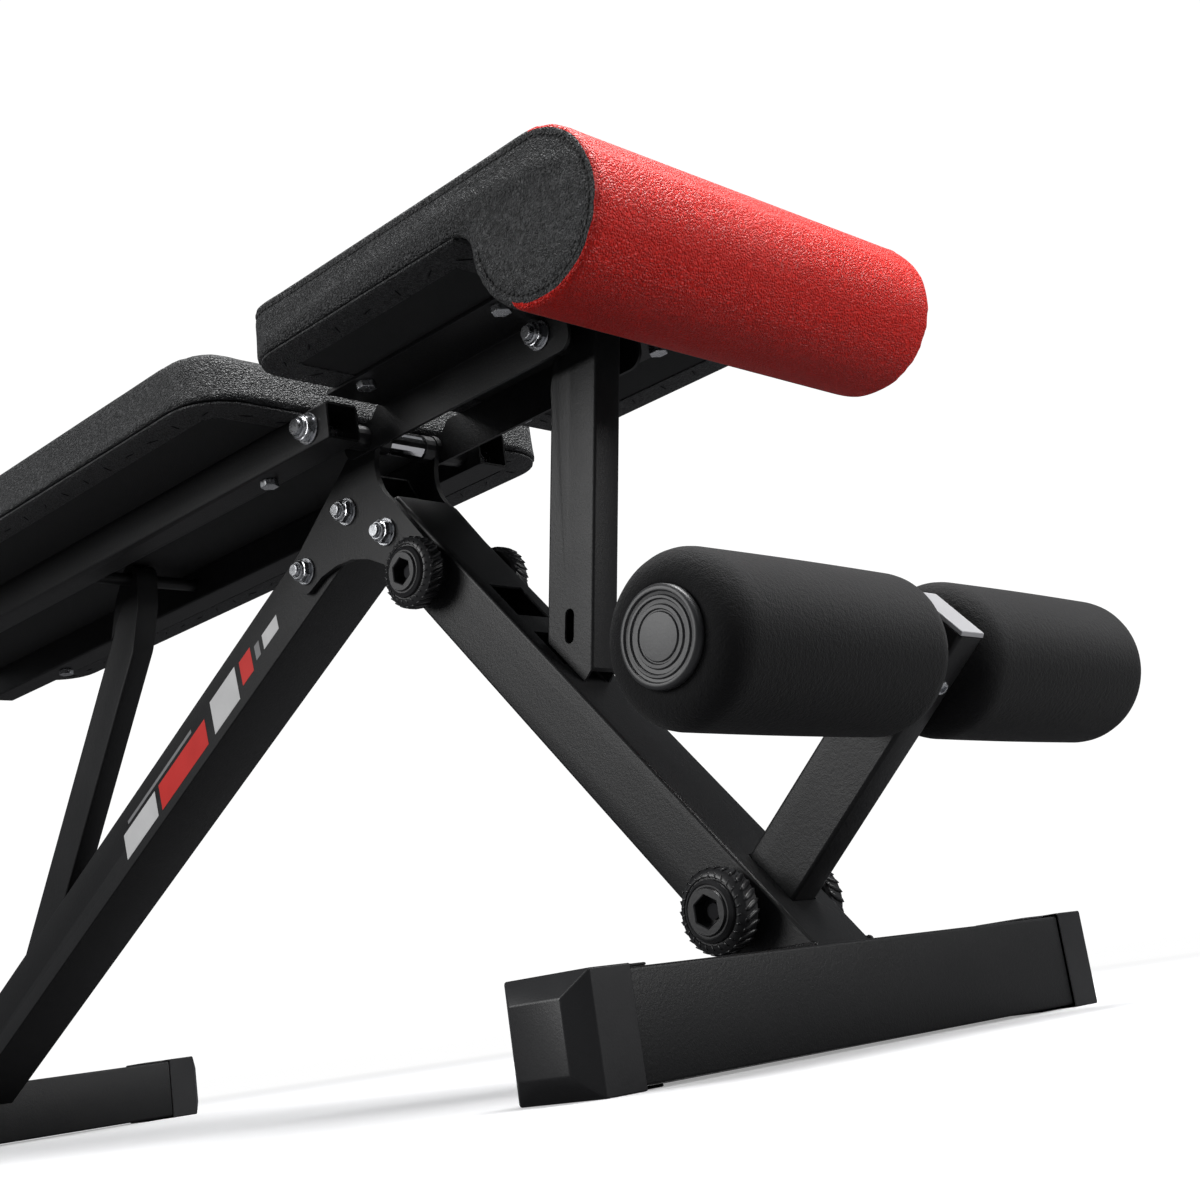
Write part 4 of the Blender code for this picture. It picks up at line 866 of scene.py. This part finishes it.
class ROMAN_OT_backrest(bpy.types.Operator):
    """Backrest cover with its underside"""

    bl_idname = "roman.backrest"
    bl_label = "Backrest pad"

    def execute(self, context):
        back = cover_from("back_pad", "back_cover", voxel=0.005, smoothing=4)
        filled_cover(back, BACK_UNDER + HELD_RIM)
        cover_with(back.data, "black_vinyl")
        back.data.shade_smooth()
        settle(back, "backrest", "black_vinyl", "back_pad")
        underside("back", BACK_LOW, BACK_HIGH, (0.045, 0.045), BACK_UNDER, 5)
        return {"FINISHED"}


def underside(word, low, high, corner, under, seed):
    """Turned-in cover edge with its staples, and the cloth over the board."""
    body = PAD_BODY[word]
    outer = rounded_outline(low, high, corner, 0.003)
    shoulder = rounded_outline(low, high, corner, 0.0055)
    inner = rounded_outline(low, high, corner, 0.031)
    wave = 0.0012
    waved = [(x + wave * sin(i * 2.3), y + wave * cos(i * 1.7)) for i, (x, y) in enumerate(inner)]
    loops = [[(x, y, under + 0.0012) for x, y in outer], [(x, y, under - 0.0002) for x, y in outer],
             [(x, y, under - 0.0011) for x, y in shoulder], [(x, y, under - 0.0010) for x, y in waved],
             [(x, y, under + 0.0012) for x, y in waved]]
    hem = new_piece(f"{word}_hem", strip_ring(f"{word}_hem", loops), "black_vinyl")
    settle(hem, body, "black_vinyl")
    line = rounded_outline(low, high, corner, 0.020)
    points = evenly([(x, y, under - 0.0012) for x, y in line], 0.01, True)
    staples = grains(f"{word}_staples", [(points, [(0, 0, -1)] * len(points), True)], looks().staple_pitch,
                     (0.012, 0.0012, 0.0011), "dark_steel_and_socket_shade", 0.5, 0.9, seed)
    settle(staples, body, "zinc")
    dress(f"{word}_board", "dust_cover")


# ---------------------------------------------------------------- operators for the hard parts

class ROMAN_OT_tubes(bpy.types.Operator):
    """Legs, feet, plates, rails, post, strut and roller arm in powder coat"""

    bl_idname = "roman.tubes"
    bl_label = "Frame tubes"

    def execute(self, context):
        corner = looks().tube_corner
        for node, body in (("rear_leg", "rear_frame"), ("front_leg", "front_frame"),
                           ("rear_foot", "rear_frame"), ("front_foot", "front_frame"),
                           ("back_rail_left", "backrest"), ("back_rail_right", "backrest"),
                           ("roller_arm", "front_frame")):
            rounded_part(node, body, "powder_coat", corner)
        rounded_part("seat_post", "seat_prop", "powder_coat", corner)
        rounded_part("back_strut", "back_prop", "powder_coat", corner, least=0.05)
        for word, _ in SIDES:
            rounded_part(f"gusset_plate_{word}", "rear_frame", "powder_coat", edge=0.0007)
            rounded_part(f"seat_rail_{word}", "seat", "powder_coat", edge=0.0006)
        dress("cross_rod", "powder_coat")
        return {"FINISHED"}


def dress(node, finish):
    """Give a frame node that stays its finish."""
    cover_with(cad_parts[node].data, finish)


class ROMAN_OT_caps(bpy.types.Operator):
    """Moulded caps on the feet and the roller arm"""

    bl_idname = "roman.caps"
    bl_label = "Foot caps"

    def execute(self, context):
        for end, body in (("rear", "rear_frame"), ("front", "front_frame")):
            for word, _ in SIDES:
                rounded_part(f"{end}_foot_cap_{word}", body, "black_plastic", edge=0.0012)
        rounded_part("arm_cap", "front_frame", "grey_plastic", edge=0.0006, finish="light_plastic")
        return {"FINISHED"}


class ROMAN_OT_fasteners(bpy.types.Operator):
    """Nuts with nylon rings, washers, bolts, studs, sleeves and collars"""

    bl_idname = "roman.fasteners"
    bl_label = "Fasteners"

    def execute(self, context):
        for node in ("leg_nut_low", "leg_nut_high", "leg_nut_fold"):
            lock_nut(node, "rear_frame", PLATE_FACE, -1, 0.0053)
        for word, side in SIDES:
            lock_nut(f"pivot_nut_{word}", "rear_frame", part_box("back_rail_right")[1].y, side, 0.0063)
        lock_nut("post_nut", "seat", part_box("seat_rail_right")[0].y + 0.003, -1, 0.0053)
        for node in ("leg_bolt_low", "leg_bolt_high", "leg_bolt_fold", "post_bolt"):
            body = "seat" if node == "post_bolt" else "rear_frame"
            rounded_part(node, body, "zinc", edge=0.0005)
        for word, body in PAD_BODY.items():
            for number in range(1, 5):
                rounded_part(f"{word}_bolt_{number}", body, "zinc", edge=0.0005)
        for node in ("pivot_axle", "roller_axle"):
            dress(node, "zinc")
        # The studs sit deep in the knob sockets; their dark steel finish is painted shade of those sockets.
        for node in ("lock_stud", "clamp_stud"):
            dress(node, "dark_steel_and_socket_shade")
        dress("pivot_sleeve", "chrome")
        set_screw()
        for word, _ in SIDES:
            dress(f"pivot_bush_{word}", "black_plastic")
            dress(f"rail_spacer_{word}", "black_plastic")
        return {"FINISHED"}


def lock_nut(node, body, face, side, bore):
    """Hexagon nut with chamfers, a nylon ring and a washer under it."""
    low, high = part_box(node)
    centre = (low + high) / 2
    half = min(high.z - low.z, high.x - low.x) / 2
    start = face + 0.0003
    end = max(abs(low.y), abs(high.y))
    at = Vector((centre.x, 0, centre.z))
    crown = half * 1.02
    hexa = hexagon(half)
    loops = [(bore, start + 0.0015), (half * 0.98, start + 0.0015),
             (hexagon(half, half * 1.06), start + 0.0018), (hexa, start + 0.0026), (hexa, end - 0.0034),
             (hexagon(half, half * 1.05), end - 0.0026), (crown * 0.93, end - 0.0024),
             (crown * 0.86, end - 0.0006), (crown * 0.78, end), (bore + 0.0008, end), (bore, end - 0.0008)]
    nut = new_piece(f"{node}_finished", spun_mesh(node, at, side, loops, 48, True), "zinc", 30)
    settle(nut, body, "zinc", node)
    rim = half * 1.32
    washer = [(bore, start), (rim, start), (rim, start + 0.001), (rim - 0.0005, start + 0.0015),
              (bore, start + 0.0015)]
    piece = new_piece(f"{node}_washer", spun_mesh(f"{node}_washer", at, side, washer, 40, True), "zinc", 30)
    settle(piece, body, "zinc")


def set_screw():
    """Socket screw in the roller arm's lower face, which pins the axle."""
    down = Vector((-cos(FRONT_TILT), 0, -sin(FRONT_TILT)))
    reach = 0.030
    loops = [(0, -0.0005), (0.0044, -0.0005), (0.0046, 0.0), (0.0046, 0.0018), (0.0038, 0.0026),
             (0.0027, 0.0026), (hexagon(0.0023), 0.0026), (hexagon(0.0022), 0.0008), (0, 0.0008)]
    mesh = spun_mesh("set_screw", Vector((0, 0, 0)), 1, loops, 36)
    mesh.transform(Vector((0, 1, 0)).rotation_difference(down).to_matrix().to_4x4())
    mesh.transform(Matrix.Translation(Vector((AXLE.x, 0, AXLE.z)) + down * reach))
    settle(new_piece("set_screw", mesh, "zinc", 30), "front_frame", "zinc")


class ROMAN_OT_knobs(bpy.types.Operator):
    """Clamping knobs with slanted ribs, ringed faces and hexagon sockets"""

    bl_idname = "roman.knobs"
    bl_label = "Knobs"

    def execute(self, context):
        for word, side in SIDES:
            for kind, centre, face in (("lock", LOCK, PLATE_FACE), ("clamp", CLAMP, LEG_HALF)):
                at = Vector((centre.x, 0, centre.z))
                knob(f"{kind}_knob_{word}", f"knob_{kind}_{word}", at, face, side)
        return {"FINISHED"}


def knob(node, body, at, face, side):
    """One knob: spun body, rib ring and two raised rings."""
    low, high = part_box(node)
    rim = (high.z - low.z) / 2
    end = max(abs(low.y), abs(high.y))
    start = face + 0.0003
    back = end - 0.0205
    bore = 0.0054
    floor = end - 0.010
    mouth = hexagon(0.009)
    loops = [(bore, start), (0.0185, start), (0.019, start + 0.0008), (0.019, back - 0.0006), (0.0198, back),
             (rim - 0.0035, back + 0.0004), (rim - 0.0012, back + 0.0022), (rim - 0.001, back + 0.0132),
             (rim - 0.0042, back + 0.0162), (rim - 0.006, back + 0.0166), (rim - 0.0066, back + 0.0158),
             (rim - 0.0076, back + 0.0158), (rim - 0.0082, back + 0.0178), (rim - 0.0104, back + 0.0194),
             (rim - 0.0112, back + 0.0188), (rim - 0.0122, back + 0.0188), (rim - 0.0132, end), (0.0118, end),
             (hexagon(0.0097), end), (mouth, end - 0.0007), (mouth, floor), (bore, floor)]
    piece = new_piece(f"{node}_finished", spun_mesh(node, at, side, loops, 72, True), "black_plastic", 32)
    settle(piece, body, "black_plastic", node)
    rib_circle = rim - 0.0011
    path = circle_path(at, rib_circle, side * (back + 0.0078))
    pitch = 2 * pi * rib_circle / looks().knob_ribs
    ribs = grains(f"{node}_ribs", [path], pitch, (0.0160, 0.0046, 0.0028), "black_plastic",
                  side * radians(62))
    settle(ribs, body, "black_plastic")
    tooth_circle = rim - 0.0052
    front = [circle_path(at, tooth_circle, side * (back + 0.0158), 0)]
    pitch = 2 * pi * tooth_circle / looks().knob_ribs
    ring = grains(f"{node}_teeth", front, pitch, (0.0046, 0.0020, 0.0022), "black_plastic", radians(60))
    settle(ring, body, "black_plastic")


class ROMAN_OT_rollers(bpy.types.Operator):
    """Foam ankle rollers and their ringed end discs"""

    bl_idname = "roman.rollers"
    bl_label = "Ankle rollers"

    def execute(self, context):
        for word, side in SIDES:
            foam_roller(word, side)
            end_disc(word, side)
        return {"FINISHED"}


def foam_roller(word, side):
    """Foam sleeve with soft shoulders, pinched a little under its end disc."""
    low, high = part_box(f"foam_roller_{word}")
    start = min(abs(low.y), abs(high.y))
    end = max(abs(low.y), abs(high.y))
    radius = (high.z - low.z) / 2
    shoulder = 0.018
    bore = 0.0103
    loops = [(bore, start), (bore + 0.008, start)]
    for i in range(9):
        a = pi / 2 * i / 8
        loops.append((radius - shoulder * (1 - sin(a)), start + shoulder * (1 - cos(a))))
    count = 24
    for i in range(1, count):
        y = start + shoulder + (end - start - 2 * shoulder) * i / count
        loops.append((radius + 0.0004 * sin(pi * i / count), y))
    for i in range(9):
        a = pi / 2 * i / 8
        loops.append((radius - shoulder * (1 - cos(a)), end - shoulder * (1 - sin(a))))
    loops += [(0.0288, end), (0.0281, end - 0.0006), (0.0276, end - 0.001), (bore, end - 0.001)]
    at = Vector((AXLE.x, 0, AXLE.z))
    mesh = spun_mesh(f"foam_{word}", at, side, loops, 96, True)
    obj = new_piece(f"foam_roller_{word}_finished", mesh, "foam", 50)
    settle(obj, f"roller_{word}", "foam", f"foam_roller_{word}")


def end_disc(word, side):
    """Moulded end disc with raised rings."""
    low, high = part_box(f"roller_cap_{word}")
    end = max(abs(low.y), abs(high.y))
    base = end - 0.0045
    rim = (high.z - low.z) / 2
    loops = [(0, base - 0.016), (0.0072, base - 0.016), (0.0076, base - 0.001), (rim - 0.0006, base - 0.0006),
             (rim, base), (rim, end - 0.0016), (rim - 0.001, end - 0.0004), (rim - 0.0022, end),
             (rim - 0.0034, end - 0.0002), (rim - 0.0042, end - 0.0014), (rim - 0.0056, end - 0.0016),
             (rim - 0.0064, end - 0.0006), (rim - 0.0076, end - 0.0006), (rim - 0.0084, end - 0.0017),
             (rim - 0.0104, end - 0.0018), (rim - 0.0112, end - 0.0008), (0.0146, end - 0.0008),
             (0.0139, end - 0.0016), (0.0133, end - 0.0016), (0.0126, end - 0.0007), (0.006, end - 0.0004),
             (0, end - 0.0004)]
    at = Vector((AXLE.x, 0, AXLE.z))
    mesh = spun_mesh(f"disc_{word}", at, side, loops, 72)
    obj = new_piece(f"roller_disc_{word}", mesh, "grey_plastic", 40)
    settle(obj, "front_frame", "grey_plastic", f"roller_cap_{word}")


class ROMAN_OT_welds(bpy.types.Operator):
    """Weld beads where the legs meet the feet"""

    bl_idname = "roman.welds"
    bl_label = "Welds"

    def execute(self, context):
        for end, body in (("front", "front_frame"), ("rear", "rear_frame")):
            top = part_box(f"{end}_foot")[1].z
            low, high = foot_contact(end)
            x0, x1 = low + 0.001, high - 0.001
            y = LEG_HALF + 0.0003
            paths = []
            for _, side in SIDES:
                line = evenly([(x0, side * y, top + 0.0006), (x1, side * y, top + 0.0006)], 0.004)
                paths.append((line, [(0, side * 0.7, 0.7)] * len(line), False))
            bead = grains(f"{end}_weld", paths, 0.0024, (0.0046, 0.0064, 0.0040), "powder_coat", 0.0, 0.25, 3)
            settle(bead, body, "powder_coat")
        return {"FINISHED"}


def foot_contact(end):
    """Least and greatest X where a leg stands on its foot."""
    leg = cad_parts[f"{end}_leg"].data
    low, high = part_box(f"{end}_foot")
    over_foot = [v.co for v in leg.vertices if low.x - 0.001 < v.co.x < high.x + 0.001]
    xs = [co.x for co in over_foot if abs(co.z - high.z) < 0.0012]
    return min(xs), max(xs)


class ROMAN_OT_label(bpy.types.Operator):
    """Plain stripes on the rear leg's left face"""

    bl_idname = "roman.label"
    bl_label = "Leg stripes"

    def execute(self, context):
        start = middle("leg_nut_low")
        across = Vector((-sin(REAR_TILT), 0, cos(REAR_TILT)))
        along = Vector((cos(REAR_TILT), 0, sin(REAR_TILT)))
        face = -LEG_HALF - 0.00005
        bars = {"label_white": [(-0.365, -0.300, -0.016, 0.006), (-0.187, -0.140, -0.016, 0.012),
                                (-0.088, -0.062, -0.006, 0.006)],
                "label_red": [(-0.292, -0.200, -0.016, 0.006), (-0.130, -0.110, -0.010, 0.010)],
                "label_grey": [(-0.345, -0.215, 0.0095, 0.0125), (-0.102, -0.094, -0.006, 0.006)]}
        for finish, shapes in bars.items():
            shape = bmesh.new()
            for near, far, low, high in shapes:
                corners = []
                for distance, height in ((near, low), (far, low), (far, high), (near, high)):
                    lean = 0.35 * (height - low)
                    foot = Vector((start.x, 0, start.z)) + along * (distance + lean)
                    corners.append(foot + across * height)
                inner = [shape.verts.new((p.x, face + 0.0002, p.z)) for p in corners]
                outer = [shape.verts.new((p.x, face - 0.00012, p.z)) for p in corners]
                shape.faces.new(inner)
                shape.faces.new(outer[::-1])
                for i in range(4):
                    j = (i + 1) % 4
                    shape.faces.new([inner[i], outer[i], outer[j], inner[j]])
            bmesh.ops.recalc_face_normals(shape, faces=shape.faces)
            obj = new_piece(f"leg_{finish}", shape_to_mesh(finish, shape), finish, 30)
            settle(obj, "rear_frame", "grey_plastic")
        return {"FINISHED"}


def camera_sees(tree, seen, unseen, output):
    """Show one shader to the camera and another to every other ray."""
    path = add(tree, "ShaderNodeLightPath")
    mix = add(tree, "ShaderNodeMixShader")
    tree.links.new(path.outputs["Is Camera Ray"], mix.inputs[0])
    tree.links.new(unseen.outputs[0], mix.inputs[1])
    tree.links.new(seen.outputs[0], mix.inputs[2])
    tree.links.new(mix.outputs[0], output.inputs["Surface"])


def floor_paint():
    """White floor that fades to plain white far away, and lights the object only a little."""
    material, tree, shader, coordinates = bare_material("floor_paint", (0.8, 0.8, 0.81), 0.5)
    shader.inputs["Emission Color"].default_value = (1, 1, 1, 1)
    shader.inputs["Emission Strength"].default_value = 0.3
    span = add(tree, "ShaderNodeVectorMath", operation="LENGTH")
    tree.links.new(coordinates, span.inputs[0])
    far = add(tree, "ShaderNodeMapRange", interpolation_type="SMOOTHSTEP")
    far.inputs["From Min"].default_value = 0.9
    far.inputs["From Max"].default_value = 2.6
    tree.links.new(span.outputs["Value"], far.inputs["Value"])
    plain = add(tree, "ShaderNodeEmission")
    plain.inputs["Strength"].default_value = 1.0
    seen = add(tree, "ShaderNodeMixShader")
    tree.links.new(far.outputs[0], seen.inputs[0])
    tree.links.new(shader.outputs[0], seen.inputs[1])
    tree.links.new(plain.outputs[0], seen.inputs[2])
    dim = add(tree, "ShaderNodeBsdfDiffuse")
    dim.inputs["Color"].default_value = (0.16, 0.16, 0.165, 1)
    camera_sees(tree, seen, dim, tree.nodes["Material Output"])
    return material


class ROMAN_OT_stage(bpy.types.Operator):
    """Pale floor, soft studio light and the camera"""

    bl_idname = "roman.stage"
    bl_label = "Stage"

    def execute(self, context):
        scene = context.scene
        mesh = bpy.data.meshes.new("floor")
        mesh.from_pydata([(-60, -60, 0), (60, -60, 0), (60, 60, 0), (-60, 60, 0)], [], [(0, 1, 2, 3)])
        floor = bpy.data.objects.new("floor", mesh)
        scene.collection.objects.link(floor)
        mesh.materials.append(floor_paint())
        world = bpy.data.worlds.new("studio")
        world.use_nodes = True
        tree = world.node_tree
        seen = tree.nodes["Background"]
        seen.inputs["Color"].default_value = (1, 1, 1, 1)
        seen.inputs["Strength"].default_value = 1.05
        light = add(tree, "ShaderNodeBackground")
        light.inputs["Color"].default_value = (0.93, 0.96, 1, 1)
        light.inputs["Strength"].default_value = 0.16
        camera_sees(tree, seen, light, tree.nodes["World Output"])
        scene.world = world
        for name, place, target, size, power in (
                ("overhead", (0.75, 0.25, 2.1), (0.4, 0, 0.4), (1.3, 1.1), 78),
                ("left_window", (-0.9, -2.2, 1.3), (0.2, 0, 0.35), (1.2, 1.6), 46),
                ("right_rim", (2.3, 1.0, 1.2), (0.45, 0, 0.35), (0.8, 1.3), 30)):
            lamp = bpy.data.lights.new(name, "AREA")
            lamp.shape = "RECTANGLE"
            lamp.size, lamp.size_y = size
            lamp.energy = power
            obj = bpy.data.objects.new(name, lamp)
            obj.location = place
            obj.rotation_euler = (Vector(target) - Vector(place)).to_track_quat("-Z", "Y").to_euler()
            scene.collection.objects.link(obj)
        data = bpy.data.cameras.new("camera")
        data.sensor_width = 36
        data.lens = 51.447
        data.clip_start = 0.05
        camera = bpy.data.objects.new("camera", data)
        camera.location = (1.17437, -0.86935, 0.03817)
        camera.rotation_euler = Euler((radians(103.74), radians(8.169), radians(44.588)), "XYZ")
        scene.collection.objects.link(camera)
        scene.camera = camera
        scene.view_settings.view_transform = "Standard"
        return {"FINISHED"}


OPERATORS = (ROMAN_OT_tubes, ROMAN_OT_caps, ROMAN_OT_fasteners, ROMAN_OT_knobs, ROMAN_OT_rollers,
             ROMAN_OT_seat, ROMAN_OT_backrest, ROMAN_OT_welds, ROMAN_OT_label, ROMAN_OT_stage)


class ROMAN_PT_panel(bpy.types.Panel):
    """Sizes, colours and pieces of the roman chair"""

    bl_idname = "ROMAN_PT_panel"
    bl_label = "Roman chair"
    bl_space_type = "VIEW_3D"
    bl_region_type = "UI"
    bl_category = "Roman chair"

    def draw(self, context):
        for key in RomanChairLooks.__annotations__:
            self.layout.prop(context.scene.roman_chair, key)
        for operator in OPERATORS:
            self.layout.operator(operator.bl_idname)


CLASSES = (RomanChairLooks, *OPERATORS, ROMAN_PT_panel)


def register():
    """Add the properties, the operators and the panel."""
    for cls in CLASSES:
        bpy.utils.register_class(cls)
    bpy.types.Scene.roman_chair = bpy.props.PointerProperty(type=RomanChairLooks)


def unregister():
    """Take them away again."""
    del bpy.types.Scene.roman_chair
    for cls in reversed(CLASSES):
        bpy.utils.unregister_class(cls)


def main():
    """Build every piece."""
    register()
    for operator in OPERATORS:
        group, name = operator.bl_idname.split(".")
        getattr(getattr(bpy.ops, group), name)()


if __name__ == "__main__":
    main()
